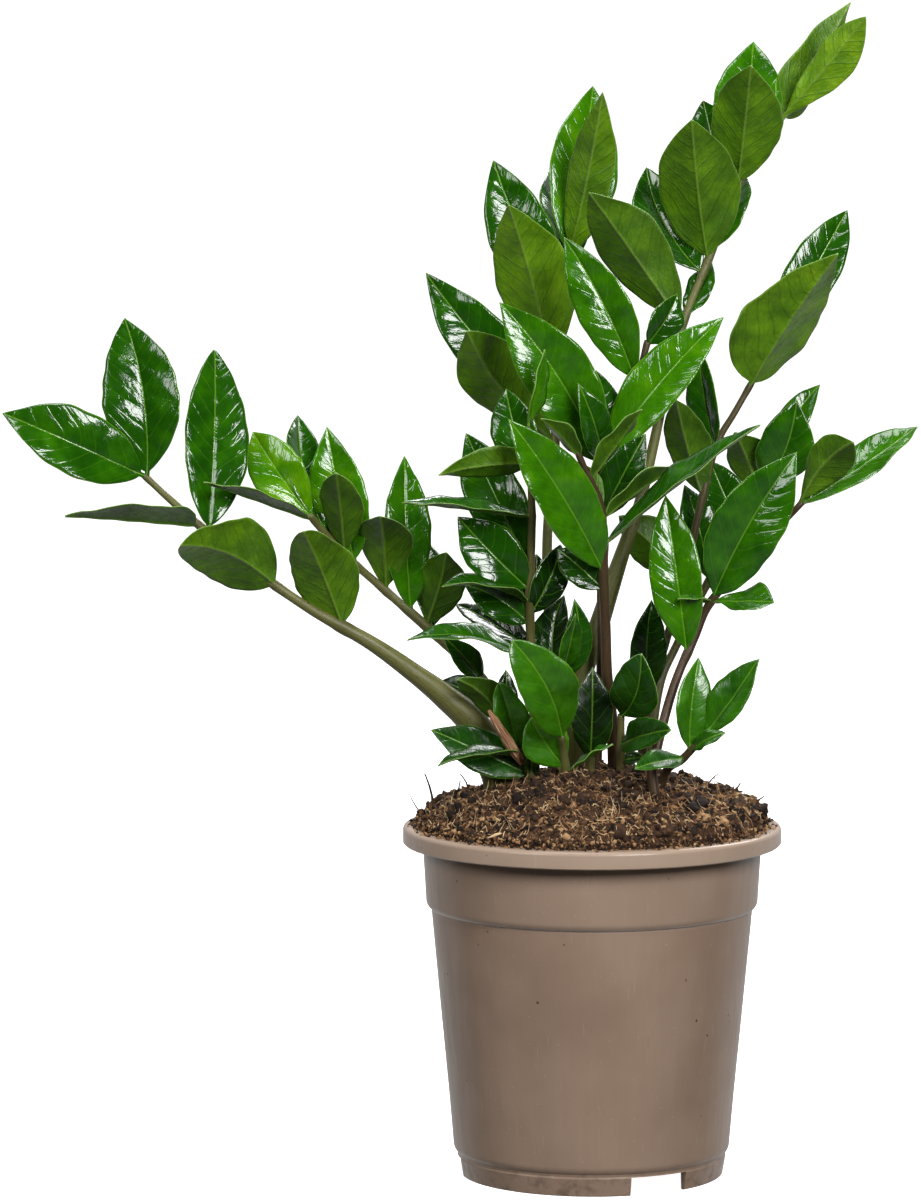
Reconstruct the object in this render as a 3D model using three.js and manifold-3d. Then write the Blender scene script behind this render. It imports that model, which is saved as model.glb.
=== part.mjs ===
// A ZZ plant in its nursery pot. The pot is one thin moulded shell with a turned-down rim, a deep collar
// and a notched foot ring. Peat fills it and is heaped over the rim. Each frond or shoot stands in a plain
// hole in the peat and is one solid: its stem with all its leaflets. Millimetres, +Z up.
import * as THREE from "three";
import { mergeVertices } from "three/addons/utils/BufferGeometryUtils.js";
import Module from "manifold-3d";

const wasm = await Module();
wasm.setup();

// ---- Driving dimensions ----
// The origin is on the ground in the middle of the whole plant's footprint. The pot's axis stands here:
const POT_AXIS_X = 59.9;
const POT_AXIS_Y = -10.7;

const WALL = 1.8;            // wall of the pot
const GAP = 0.3;             // clearance between pieces that touch
const POT_SIDES = 40;

const RIM_R = 86;            // the turned-down rim
const RIM_TOP = 160;
const RIM_BOTTOM = 152;
const RIM_ROUND = 2;
const RIM_THICKNESS = 2.6;   // of the flat top between the wall and the turned-down edge
const COLLAR_TOP_R = 77;     // the wide collar below the rim
const COLLAR_FOOT_R = 75.5;
const COLLAR_FOOT = 122;
const COLLAR_ROUND = 4;
const BODY_TOP_R = 73;       // the tapered body below the collar
const BODY_FOOT_R = 63;
const BODY_FOOT = 15;
const BODY_ROUND = 5;
const FOOT_TOP_R = 61.5;     // the foot ring
const FOOT_R = 60;
const FOOT_TOP = 8.5;
const FLOOR_TOP = 11;
const NOTCH_ANGLES = [29.5, 149.5, 269.5]; // measured at the axis from -Y towards +X
const NOTCH_SPREAD = 27;     // degrees of ring that each notch takes
const DRAIN_R = 5;           // holes through the floor
const DRAIN_RING_R = 38;
const DRAINS = 6;

const SOIL_LIP_R = 79.5;     // how far the heaped peat reaches over the rim
const SOIL_PEAK = 185;
const HEAP = [[73, 168.5], [60, 173], [42, 178.5], [22, 183.5]]; // radius and height of the heap's surface
const BURIED = 22;           // length of stem below the peat
const HOLE_CLEARANCE = 0.35; // between a stem and the wall of its hole in the peat

const STEM_SIDES = 6;
const STEM_STEP = 26;        // length of one facet along a stem
const BLADE = 0.9;           // thickness of a leaflet
const STALK = 0.04;          // share of a leaflet's length that is its stalk
const STALK_HALF_WIDTH = 1.1;
const LEAF_FOLD = THREE.MathUtils.degToRad(16); // each half of a leaflet rises from the rib
const LEAF_STATIONS = [0, 0.1, 0.29, 0.5, 0.7, 0.87, 1]; // shares of its length where its sides are set

// ---- Where things are ----
// Stems and leaflets are placed as they are seen from the front, from a point 3 m off and 6.4 degrees
// above: a is mm to the right of the pot's axis, b is mm above the ground and back is mm behind the axis.
const VIEW_REACH = 3000;
const VIEW_DROP = THREE.MathUtils.degToRad(6.4);
const VIEW_MIDDLE = new THREE.Vector3(-59.8, 0, 262.7);
const VIEW_AHEAD = new THREE.Vector3(0, Math.cos(VIEW_DROP), -Math.sin(VIEW_DROP));
const VIEW_UP = new THREE.Vector3(0, Math.sin(VIEW_DROP), Math.cos(VIEW_DROP));
const EYE = VIEW_MIDDLE.clone().addScaledVector(VIEW_AHEAD, -VIEW_REACH);

function seen(a, b, back) {
  const ray = VIEW_AHEAD.clone().multiplyScalar(VIEW_REACH);
  ray.x += a - VIEW_MIDDLE.x;
  ray.addScaledVector(VIEW_UP, b - VIEW_MIDDLE.z);
  return EYE.clone().addScaledVector(ray, (back - EYE.y) / ray.y);
}

// Every frond has a stem, listed from the peat up as [a, b, back, radius], and leaflets. A leaflet runs
// from its base on the stem to its tip, which lies `back` mm further back than the base. It is `wide` mm
// wide, at the share `peak` of its length, and its upper face is turned by `turn` degrees about its own
// length: 0 faces the front, 180 shows the underside. Its rib bows upwards by `arch` mm and sideways by
// `bend` mm, to the right as seen from the front where it points up.
const FRONDS = [
  {
    name: "frond_left_front",
    stem: [
      [-41, 178, 5, 8], [-45, 190, 4, 8], [-54, 207, 2, 7], [-67, 219, 0, 5.7], [-80, 229, -3, 4.5],
      [-100, 243, -6, 3.4], [-130, 260, -8, 2.3], [-162, 283, -5, 1.9], [-190, 307, 0, 1.7],
      [-203, 319, 2, 1.4],
    ],
    leaves: [
      { base: [-203, 318], tip: [-267, 347.5], back: -12, wide: 33, turn: 18, bend: -1 },
      { base: [-202, 318], tip: [-212, 390.5], back: 14, wide: 37, turn: -12, bend: 4.5 },
      { base: [-174, 294], tip: [-171, 376.5], back: 34, wide: 31, turn: 15, peak: 0.44 },
      { base: [-178, 297], tip: [-239, 301.5], back: -22, wide: 32, turn: 103, arch: 0, peak: 0.3 },
      { base: [-141, 270], tip: [-187, 288], back: -34, wide: 35, turn: 160, bend: 4, peak: 0.4 },
      { base: [-112, 251], tip: [-131, 294], back: -30, wide: 31, turn: 168, peak: 0.42 },
    ],
  },
  {
    name: "frond_left_back",
    stem: [
      [-28, 183, 22, 3.2], [-35, 195, 24, 3], [-44, 214, 26, 2.8], [-52, 229, 27, 2.6], [-70, 246, 28, 2.3],
      [-95, 268, 26, 1.9], [-112, 283, 20, 1.7], [-124, 296, 13, 1.5], [-128, 301, 10, 1.4],
    ],
    leaves: [
      { base: [-127, 299], tip: [-176, 316.5], back: -26, wide: 19, turn: 98, arch: 0 },
      { base: [-126, 298], tip: [-154, 339], back: 14, wide: 25, turn: 0, arch: 2, bend: -1, peak: 0.55 },
      { base: [-121, 292], tip: [-133, 347], back: 30, wide: 23, turn: 38, arch: 2, bend: -6 },
      { base: [-107, 279], tip: [-120.5, 341], back: 2, wide: 27, turn: -10, arch: 3 },
      { base: [-112, 283], tip: [-116, 321], back: -30, wide: 21, turn: 165, arch: 1, peak: 0.55 },
      { base: [-94, 267], tip: [-96, 301], back: -28, wide: 26, turn: 168, peak: 0.55 },
      { base: [-82, 257], tip: [-85, 328], back: 10, wide: 23, turn: 15, bend: -2 },
      { base: [-73, 249], tip: [-76, 291], back: 30, wide: 20, turn: 20, arch: 2 },
      { base: [-75, 251], tip: [-66, 284.5], back: -20, wide: 23, turn: 165 },
      { base: [-50, 226], tip: [-67, 246], back: -14, wide: 13, turn: 20, arch: 2 },
      { base: [-45, 214], tip: [-69, 226.5], back: 6, wide: 15, turn: 20, arch: 2 },
    ],
  },
  {
    name: "frond_centre_left",
    stem: [
      [-26, 186, 5, 2.2], [-27, 215, 3, 2], [-28, 244, 1, 1.9], [-28.5, 262, -1, 1.9], [-27.5, 297, -5, 1.8],
      [-28, 320, -8, 1.6], [-29, 341, -11, 1.4],
    ],
    leaves: [
      { base: [-28, 234], tip: [-83.5, 245.5], back: -18, wide: 19, turn: 76, arch: 7 },
      { base: [-28, 240], tip: [-62, 262], back: 30, wide: 20, turn: 45, arch: 1 },
      { base: [-28, 252], tip: [-58, 270], back: 0, wide: 20, turn: 10, arch: 2, bend: 2 },
      { base: [-28, 262], tip: [-68, 269.5], back: -26, wide: 19, turn: 78 },
      { base: [-28, 267], tip: [-61, 300.5], back: 2, wide: 26, turn: 5, bend: -1 },
      { base: [-28, 277], tip: [-57.5, 338.5], back: 26, wide: 27, turn: -5, arch: 3 },
      { base: [-28, 301], tip: [-86, 308], back: -20, wide: 20, turn: 78, arch: 0 },
      { base: [-28, 325], tip: [-70, 319.5], back: -20, wide: 17, turn: 145, bend: -1, peak: 0.28 },
      { base: [-28, 320], tip: [-39.5, 358.5], back: 10, wide: 22, turn: -15 },
      { base: [-29, 341], tip: [-20.5, 376], back: 4, wide: 17, turn: 68, arch: 0, bend: -3 },
      { base: [-28, 256], tip: [-14, 288], back: 8, wide: 17, turn: 20 },
      { base: [-28, 255], tip: [-25, 284], back: 18, wide: 12, turn: 10, arch: 2 },
    ],
  },
  {
    name: "frond_centre_back",
    stem: [
      [-17, 187, 29, 2.8], [-18, 230, 34, 2.6], [-20.5, 275, 41, 2.4], [-20, 300, 46, 2.2], [-17, 330, 54, 2],
      [-18, 370, 64, 1.8], [-15, 400, 72, 1.6], [-10, 420, 78, 1.4],
    ],
    leaves: [
      { base: [-18, 347], tip: [-75.5, 411], back: 4, wide: 28, turn: 0, bend: -3 },
      { base: [-17, 334], tip: [-57, 385], back: -30, wide: 33, turn: 165, bend: -5, peak: 0.55 },
      { base: [-18, 370], tip: [-38, 442], back: -24, wide: 38, turn: 165 },
      { base: [-15, 395], tip: [-45, 462], back: 8, wide: 31, turn: 0, bend: -2 },
      { base: [-11, 417], tip: [0.5, 496], back: 30, wide: 33, turn: 10, arch: 2 },
      { base: [-11, 418], tip: [5, 493], back: -24, wide: 23, turn: 160, arch: 0, bend: 1 },
      { base: [-13, 408], tip: [-20, 457], back: 28, wide: 26, turn: 40, bend: -1 },
    ],
  },
  {
    name: "frond_centre_front",
    stem: [
      [10, 187, 4, 3.2], [9, 205, 3, 2.8], [6.5, 230, 0, 2.5], [6, 250, -3, 2.3], [5, 275, -7, 2.1],
      [5, 290, -9, 2], [3, 308, -13, 1.7], [-2, 319, -16, 1.5], [-7, 330, -19, 1.3],
    ],
    leaves: [
      { base: [5, 275], tip: [-37.5, 344.5], back: -20, wide: 29, turn: 18, bend: 1 },
      { base: [5, 288], tip: [75, 343], back: -10, wide: 26, turn: -73, arch: 1 },
      { base: [4, 300], tip: [39.5, 324.5], back: 14, wide: 17, turn: -115, arch: 1 },
      { base: [-1, 318], tip: [21.5, 350], back: -8, wide: 18, turn: -115, arch: 0, bend: 2 },
      { base: [-6, 327], tip: [-23, 345.5], back: -10, wide: 16, turn: 120, arch: 1 },
      { base: [3, 302], tip: [-15, 326.5], back: 8, wide: 18, turn: 165, arch: 2 },
      { base: [5, 267], tip: [-16, 286], back: 6, wide: 18, turn: 10, arch: 2 },
    ],
  },
  {
    name: "frond_centre_right",
    stem: [
      [2, 188, 10, 2.3], [3.5, 215, 9, 2.2], [4, 240, 9, 2.2], [4, 265, 10, 2.1], [4, 290, 13, 2],
      [4, 320, 18, 1.9], [10, 340, 21, 1.8], [20, 362, 25, 1.6], [25, 380, 28, 1.4],
    ],
    leaves: [
      { base: [4, 323], tip: [-42, 397.5], back: -8, wide: 33, turn: 5, bend: 4.5 },
      { base: [4, 325], tip: [-6, 360.5], back: -18, wide: 16, turn: 20 },
      { base: [6, 328], tip: [59, 391], back: 2, wide: 27, turn: -20, bend: -1 },
      { base: [20, 361], tip: [-13, 427], back: 6, wide: 26, turn: 0, bend: 3.5 },
      { base: [4, 300], tip: [24, 338], back: -4, wide: 20, turn: -10, arch: 2 },
      { base: [25, 378], tip: [39, 401], back: 2, wide: 18, turn: 30, arch: 2 },
      { base: [4, 324], tip: [2, 367], back: 14, wide: 20, turn: 20 },
    ],
  },
  {
    name: "frond_tall",
    stem: [
      [-8, 188, 20, 5.6], [-5, 228, 21, 5.2], [1, 245, 23, 4.8], [9, 270, 25, 4], [15, 288, 28, 3.2],
      [21, 305, 31, 2.7], [27, 330, 35, 2.4], [34, 362, 40, 2.1], [41, 388, 44, 1.9], [53, 418, 51, 1.8],
      [66, 451, 59, 1.6], [78, 470, 64, 1.5], [87, 483, 67, 1.4],
    ],
    leaves: [
      { base: [41, 387], tip: [-1.5, 447.5], back: -20, wide: 33, turn: 160, bend: -1, peak: 0.52 },
      { base: [52, 416], tip: [45, 481], back: -28, wide: 39, turn: 175, arch: 1, bend: -1 },
      { base: [50, 411], tip: [24.5, 459], back: 26, wide: 30, turn: 20, arch: 2, bend: -6 },
      { base: [43, 391], tip: [54, 416], back: 10, wide: 13, turn: -20, arch: 1, bend: 1 },
      { base: [54, 421], tip: [69, 456], back: 22, wide: 22, turn: -30, arch: 2, bend: 1 },
      { base: [66, 451], tip: [72, 505.5], back: -28, wide: 34, turn: 170, arch: 1 },
      { base: [62, 441], tip: [50, 489.5], back: 32, wide: 26, turn: 0, arch: 2 },
      { base: [68, 455], tip: [73, 516], back: 24, wide: 33, turn: 0, arch: 2 },
      { base: [86, 480], tip: [116, 533.5], back: 28, wide: 26, turn: -140, arch: 2, bend: 3, peak: 0.34 },
      { base: [85, 479], tip: [124, 527], back: -22, wide: 21, turn: 160, arch: 1, bend: 0.5, peak: 0.6 },
    ],
  },
  {
    name: "frond_right_back",
    stem: [
      [22, 188, 24, 2.2], [27, 222, 28, 2], [33, 243, 31, 1.9], [42, 275, 35, 1.8], [50, 310, 40, 1.7],
      [57, 335, 44, 1.6], [64, 347, 46, 1.5], [72, 361, 49, 1.4], [77, 370, 51, 1.3],
    ],
    leaves: [
      { base: [70, 359], tip: [111, 420], back: -24, wide: 45, turn: -137, arch: 2, peak: 0.35 },
      { base: [77, 370], tip: [115.5, 439.5], back: 20, wide: 25, turn: 0, arch: 3, peak: 0.56 },
      { base: [56, 332], tip: [48, 378], back: -6, wide: 17, turn: -35, arch: 2 },
      { base: [50, 310], tip: [38, 354], back: -18, wide: 22, turn: 165, bend: -2 },
      { base: [27, 220], tip: [27, 262.5], back: -8, wide: 19, turn: 20, bend: -4 },
      { base: [42, 275], tip: [12, 301], back: 3, wide: 24, turn: 172, arch: 1 },
    ],
  },
  {
    name: "frond_right_rear",
    stem: [
      [26, 187, 36, 2.2], [31, 226, 42, 2], [38, 242, 46, 1.9], [52, 270, 51, 1.8], [66, 295, 57, 1.6],
      [80, 318, 62, 1.4],
    ],
    leaves: [
      { base: [80, 317], tip: [103, 360.5], back: 14, wide: 16, turn: -15, bend: -2 },
      { base: [79, 316], tip: [92.5, 353], back: -14, wide: 27, turn: 0, bend: 3 },
      { base: [76, 311], tip: [64.5, 339], back: -8, wide: 22, turn: 160, arch: 2 },
      { base: [66, 294], tip: [53, 326], back: 4, wide: 20, turn: 10, arch: 2 },
      { base: [53, 271], tip: [42, 315], back: 6, wide: 20, turn: 20 },
    ],
  },
  {
    name: "frond_right_front",
    stem: [
      [28.5, 171, -36, 2.4], [27, 186, -34, 2.3], [29, 195, -32, 2.3], [32, 207, -28, 2.2],
      [36, 221, -23, 2.1], [40, 232, -19, 2], [46, 245, -16, 1.9], [53, 261, -14, 1.8],
      [70, 280, -16, 1.6], [95, 307, -22, 1.3],
    ],
    leaves: [
      { base: [54, 263], tip: [92.5, 329.5], back: -14, wide: 33, turn: 0, bend: -2.5 },
      { base: [94, 306], tip: [118, 333.5], back: -26, wide: 24, turn: 170, arch: 2, peak: 0.6 },
      { base: [94, 306], tip: [147, 341.5], back: 14, wide: 26, turn: -58, arch: 0 },
      { base: [53, 262], tip: [39, 264.5], back: -12, wide: 10, turn: 80, arch: 0 },
      { base: [54, 262], tip: [82, 262], back: -18, wide: 18, turn: -45, arch: 0, peak: 0.68 },
      { base: [43, 238], tip: [33, 310], back: 8, wide: 25, turn: -10, bend: 1 },
    ],
  },
  {
    name: "shoot_right",
    stem: [
      [31, 177, -22, 2], [34, 186, -24, 1.9], [40, 190, -26, 1.7], [44, 194, -27, 1.6], [52, 203, -28, 1.3],
    ],
    leaves: [
      { base: [44, 194], tip: [48.5, 236.5], back: 4, wide: 18, turn: 25, arch: 2, bend: -2.5 },
      { base: [51, 202], tip: [75, 236], back: -10, wide: 20, turn: -35, arch: 0, bend: 1 },
      { base: [45, 195], tip: [59, 203], back: -10, wide: 8, turn: -30, arch: 1 },
      { base: [41, 191], tip: [20, 187], back: -32, wide: 12, turn: 35, arch: 1 },
    ],
  },
  {
    name: "shoot_front",
    stem: [[-12, 183, -10, 2], [-13, 193, -14, 1.8], [-14, 201, -20, 1.5]],
    leaves: [
      { base: [-14, 200], tip: [-36, 244], back: -20, wide: 27, turn: 10, bend: 3 },
      { base: [-12, 187], tip: [-28, 209], back: -6, wide: 22, turn: 0, arch: 1, bend: -1, peak: 0.55 },
      { base: [-12, 185], tip: [8.5, 198.5], back: -6, wide: 8, turn: -80, arch: 0, bend: 1 },
    ],
  },
  {
    name: "shoot_left",
    stem: [
      [-27, 180, -6, 2.2], [-32, 191, -7, 2.1], [-37, 201, -7, 2], [-42, 210, -7, 1.9], [-47, 217, -8, 1.6],
    ],
    leaves: [
      { base: [-39, 205], tip: [-61, 227.5], back: -10, wide: 17, turn: 155, arch: 1, bend: 3 },
      { base: [-33, 193], tip: [-38, 225], back: -12, wide: 17, turn: 25, arch: 2 },
      { base: [-28, 183], tip: [-73, 204], back: -2, wide: 21, turn: 15, arch: 1 },
      { base: [-33, 193], tip: [-70, 189], back: -36, wide: 16, turn: 75, arch: 2, peak: 0.35 },
      { base: [-28, 181], tip: [-28, 194], back: -6, wide: 7, turn: 10, arch: 0 },
      { base: [-40, 207], tip: [-39, 231], back: 3, wide: 11, turn: 20, arch: 1 },
    ],
  },
  {
    name: "shoot_centre_right",
    stem: [[13, 186, -8, 2], [13, 198, -9, 1.8], [13, 211, -10, 1.4]],
    leaves: [
      { base: [13, 210], tip: [22, 238], back: -20, wide: 24, turn: -15, arch: 2, bend: 4, peak: 0.5 },
      { base: [13, 197], tip: [35, 204], back: -38, wide: 17, turn: -30, arch: 2 },
      { base: [13, 190], tip: [23, 192], back: -6, wide: 7, turn: -30, arch: 0 },
    ],
  },
  {
    name: "shoot_centre_left",
    stem: [[-15, 186, 2, 1.9], [-15.5, 210, 1, 1.7], [-14, 231, 0, 1.4]],
    leaves: [
      { base: [-15, 222], tip: [-13, 265], back: 12, wide: 20, turn: -25, bend: -3 },
      { base: [-14, 229], tip: [-7.5, 256], back: -14, wide: 11, turn: 30, arch: 1 },
      { base: [-14, 226], tip: [-8, 263], back: -3, wide: 14, turn: 15, arch: 2, bend: 4 },
    ],
  },
  {
    name: "shoot_centre",
    stem: [[-1, 186, -2, 1.9], [-1, 194, -3, 1.6]],
    leaves: [{ base: [0, 190], tip: [0, 232], back: -4, wide: 20, turn: 5 }],
  },
];

// ---- Solids ----
function toSolid(geometry) {
  const bare = geometry.clone();
  bare.deleteAttribute("normal");
  bare.deleteAttribute("uv");
  const merged = mergeVertices(bare);
  const vertProperties = Float32Array.from(merged.attributes.position.array);
  const triVerts = Uint32Array.from(merged.index.array);
  return new wasm.Manifold(new wasm.Mesh({ numProp: 3, vertProperties, triVerts }));
}

function toGeometry(solid) {
  const mesh = solid.getMesh();
  const geometry = new THREE.BufferGeometry();
  geometry.setAttribute("position", new THREE.BufferAttribute(Float32Array.from(mesh.vertProperties), 3));
  geometry.setIndex(new THREE.BufferAttribute(Uint32Array.from(mesh.triVerts), 1));
  return geometry;
}

function lathe(profile, sides) {
  const points = profile.map(([r, z]) => new THREE.Vector2(r, z));
  return new THREE.LatheGeometry(points, sides).rotateX(Math.PI / 2);
}

function arc(r, z, radius, from, to, steps) {
  return Array.from({ length: steps + 1 }, (_, i) => {
    const angle = THREE.MathUtils.degToRad(from + ((to - from) * i) / steps);
    return [r + radius * Math.cos(angle), z + radius * Math.sin(angle)];
  });
}

// ---- The pot ----
function potProfile() {
  const top = RIM_TOP - RIM_ROUND;
  return [
    [0, FLOOR_TOP - WALL],
    [FOOT_TOP_R - 2 * WALL, FLOOR_TOP - WALL],
    [FOOT_R - WALL, 0],
    [FOOT_R, 0],
    [FOOT_TOP_R, FOOT_TOP],
    [FOOT_TOP_R - 0.6, FOOT_TOP + 0.5],
    ...arc(BODY_FOOT_R - BODY_ROUND, BODY_FOOT - 1, BODY_ROUND, -50, 0, 2),
    [BODY_TOP_R, COLLAR_FOOT - 1],
    ...arc(COLLAR_FOOT_R - COLLAR_ROUND, COLLAR_FOOT + COLLAR_ROUND, COLLAR_ROUND, -70, 0, 2),
    [COLLAR_TOP_R, RIM_BOTTOM],
    [COLLAR_TOP_R, RIM_TOP - RIM_THICKNESS],
    [RIM_R - WALL, RIM_TOP - RIM_THICKNESS],
    [RIM_R - WALL, RIM_BOTTOM],
    [RIM_R, RIM_BOTTOM],
    ...arc(RIM_R - RIM_ROUND, top, RIM_ROUND, 0, 90, 2),
    [COLLAR_TOP_R - WALL + 1, RIM_TOP],
    [COLLAR_TOP_R - WALL, RIM_TOP - 1],
    ...innerProfile(0).reverse(),
    [0, FLOOR_TOP],
  ];
}

// The inside of the shell from the floor up, taken in by a clearance for the peat.
function innerProfile(clearance) {
  const inset = WALL + clearance;
  return [
    [BODY_FOOT_R - inset - 3, FLOOR_TOP + clearance],
    [BODY_FOOT_R - inset, FLOOR_TOP + 4],
    [BODY_TOP_R - inset, COLLAR_FOOT - 1],
    [COLLAR_FOOT_R - inset, COLLAR_FOOT + COLLAR_ROUND],
    [COLLAR_TOP_R - inset, RIM_BOTTOM],
  ];
}

// A wedge that cuts through the foot ring, from well inside it to well outside it and from below it.
function notch(angle) {
  const half = THREE.MathUtils.degToRad(NOTCH_SPREAD / 2);
  const near = 0.8 * FOOT_R;
  const far = 1.2 * FOOT_R;
  const drop = 2;
  const shape = new THREE.Shape();
  shape.moveTo(-near * Math.tan(half), near);
  shape.lineTo(near * Math.tan(half), near);
  shape.lineTo(far * Math.tan(half), far);
  shape.lineTo(-far * Math.tan(half), far);
  const geometry = new THREE.ExtrudeGeometry(shape, { depth: FOOT_TOP + drop, bevelEnabled: false });
  geometry.translate(0, 0, -drop);
  geometry.rotateZ(Math.PI + THREE.MathUtils.degToRad(angle));
  return toSolid(geometry);
}

function drain(index) {
  const geometry = new THREE.CylinderGeometry(DRAIN_R, DRAIN_R, 2 * FLOOR_TOP, 10).rotateX(Math.PI / 2);
  geometry.translate(DRAIN_RING_R, 0, FLOOR_TOP);
  geometry.rotateZ((2 * Math.PI * (index + 0.5)) / DRAINS);
  return toSolid(geometry);
}

function pot() {
  let solid = toSolid(lathe(potProfile(), POT_SIDES));
  for (const angle of NOTCH_ANGLES) {
    solid = solid.subtract(notch(angle));
  }
  for (let i = 0; i < DRAINS; i += 1) {
    solid = solid.subtract(drain(i));
  }
  return solid;
}

// ---- Stems ----
function stemCurve(frond) {
  const points = frond.stem.map(([a, b, back]) => seen(a, b, back));
  const foot = points[0].clone();
  foot.z -= BURIED;
  points.unshift(foot);
  return new THREE.CatmullRomCurve3(points, false, "centripetal");
}

function stemRadius(frond, t) {
  const radii = [frond.stem[0][3], ...frond.stem.map((point) => point[3])];
  const place = t * (radii.length - 1);
  const before = Math.min(Math.floor(place), radii.length - 2);
  return THREE.MathUtils.lerp(radii[before], radii[before + 1], place - before);
}

// A tapered tube along the stem's curve. `extra` widens it and lengthens its foot, to cut its hole.
function stem(frond, extra) {
  const curve = stemCurve(frond);
  const steps = Math.max(3, Math.round(curve.getLength() / STEM_STEP));
  const frames = curve.computeFrenetFrames(steps, false);
  const tube = new THREE.CylinderGeometry(1, 1, steps, STEM_SIDES, steps);
  const position = tube.attributes.position;
  for (let i = 0; i < position.count; i += 1) {
    const step = Math.round(position.getY(i) + steps / 2);
    const radius = stemRadius(frond, curve.getUtoTmapping(step / steps)) + extra;
    const point = curve.getPointAt(step / steps);
    if (step === 0) {
      point.addScaledVector(frames.tangents[0], -extra);
    }
    point.addScaledVector(frames.normals[step], position.getZ(i) * radius);
    point.addScaledVector(frames.binormals[step], position.getX(i) * radius);
    position.setXYZ(i, point.x, point.y, point.z);
  }
  return toSolid(tube);
}

// ---- Leaflets ----
// Half the width of a leaflet at t from its base to its tip, as a share of its greatest half width.
function outline(t, peak) {
  const along = Math.max(0, (t - STALK) / (1 - STALK));
  const skewed = Math.pow(along, Math.log(0.5) / Math.log(peak));
  return Math.pow(Math.max(0, Math.sin(Math.PI * skewed)), 0.7);
}

// The leaflet's frame: its root on the stem, its direction, its upper face's normal and its side.
function leafFrame(leaf, curve) {
  const wanted = (back) => seen(leaf.base[0], leaf.base[1], back);
  const places = curve.getPoints(200);
  const root = places.reduce((best, place) =>
    place.distanceTo(wanted(place.y)) < best.distanceTo(wanted(best.y)) ? place : best);
  const along = seen(leaf.tip[0], leaf.tip[1], root.y + leaf.back).sub(root);
  const length = along.length();
  along.normalize();
  const front = EYE.clone().sub(root);
  front.addScaledVector(along, -front.dot(along)).normalize();
  const across = along.clone().cross(front);
  const turn = THREE.MathUtils.degToRad(leaf.turn);
  const normal = front.multiplyScalar(Math.cos(turn)).addScaledVector(across, Math.sin(turn));
  return { root, length, along, normal, side: along.clone().cross(normal) };
}

// A thin blade of even thickness. Both faces are split into the same triangles.
function blade(leaf, curve) {
  const { arch, bend, peak } = { arch: 4, bend: 0, peak: 0.47, ...leaf };
  const frame = leafFrame(leaf, curve);
  const toRight = Math.abs(leaf.turn) > 90 ? -bend : bend;
  const vertices = [];
  for (const face of [1, -1]) {
    for (const t of LEAF_STATIONS) {
      const half = Math.max(STALK_HALF_WIDTH, (leaf.wide / 2) * outline(t, peak));
      const bow = 4 * t * (1 - t);
      for (const edge of t === 1 ? [0] : [-1, 0, 1]) {
        const point = frame.root.clone().addScaledVector(frame.along, t * frame.length);
        const rise = arch * bow + Math.abs(edge) * half * Math.sin(LEAF_FOLD);
        point.addScaledVector(frame.normal, rise + (face * BLADE) / 2);
        point.addScaledVector(frame.side, toRight * bow + edge * half * Math.cos(LEAF_FOLD));
        vertices.push(point.x, point.y, point.z);
      }
    }
  }
  const rows = LEAF_STATIONS.length - 1;
  const lower = 3 * rows + 1;
  const triangles = [];
  const bothFaces = (i, j, k) => triangles.push(i, j, k, lower + i, lower + k, lower + j);
  const wall = (i, j) => triangles.push(i, lower + i, j, j, lower + i, lower + j);
  for (let row = 0; row < rows - 1; row += 1) {
    const a = 3 * row;
    bothFaces(a, a + 1, a + 4);
    bothFaces(a, a + 4, a + 3);
    bothFaces(a + 1, a + 2, a + 5);
    bothFaces(a + 1, a + 5, a + 4);
    wall(a + 3, a);
    wall(a + 2, a + 5);
  }
  const last = 3 * (rows - 1);
  const tip = 3 * rows;
  bothFaces(last, last + 1, tip);
  bothFaces(last + 1, last + 2, tip);
  wall(tip, last);
  wall(last + 2, tip);
  wall(0, 1);
  wall(1, 2);
  const geometry = new THREE.BufferGeometry();
  geometry.setAttribute("position", new THREE.Float32BufferAttribute(vertices, 3));
  geometry.setIndex(triangles);
  return toSolid(geometry);
}

function frondSolid(frond) {
  const curve = stemCurve(frond);
  return frond.leaves.reduce((solid, leaf) => solid.add(blade(leaf, curve)), stem(frond, 0));
}

// ---- The peat ----
function soilProfile() {
  const top = RIM_TOP + GAP;
  const wallTop = COLLAR_TOP_R - WALL - GAP;
  return [
    [0, FLOOR_TOP + GAP],
    ...innerProfile(GAP),
    [wallTop, top],
    [SOIL_LIP_R, top],
    [SOIL_LIP_R - 1, top + 3],
    ...HEAP,
    [0, SOIL_PEAK],
  ];
}

// The peat lies a little higher on the right, with low lumps, in mm above its mean surface.
function lumps(x, y) {
  const broad = 0.9 * Math.sin(0.21 * x + 1) * Math.cos(0.17 * y);
  return 0.02 * x + broad + 0.6 * Math.sin(0.43 * x - 0.37 * y + 2);
}

function soil() {
  const geometry = lathe(soilProfile(), POT_SIDES);
  const position = geometry.attributes.position;
  for (let i = 0; i < position.count; i += 1) {
    const z = position.getZ(i);
    if (z > RIM_TOP + 4) {
      position.setZ(i, z + lumps(position.getX(i), position.getY(i)));
    }
  }
  return FRONDS.reduce((solid, frond) => solid.subtract(stem(frond, HOLE_CLEARANCE)), toSolid(geometry));
}

// ---- The plant ----
function piece(name, solid, color, roughness) {
  const material = new THREE.MeshStandardMaterial({ color, roughness, metalness: 0 });
  const mesh = new THREE.Mesh(toGeometry(solid), material);
  mesh.name = name;
  return mesh;
}

function pottedPlant() {
  const group = new THREE.Group();
  group.position.set(POT_AXIS_X, POT_AXIS_Y, 0);
  group.add(piece("pot", pot(), 0x827060, 0.45));
  group.add(piece("soil", soil(), 0x3a2a1e, 0.95));
  for (const frond of FRONDS) {
    group.add(piece(frond.name, frondSolid(frond), 0x3f7a1c, 0.35));
  }
  return group;
}

export default pottedPlant();
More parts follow.
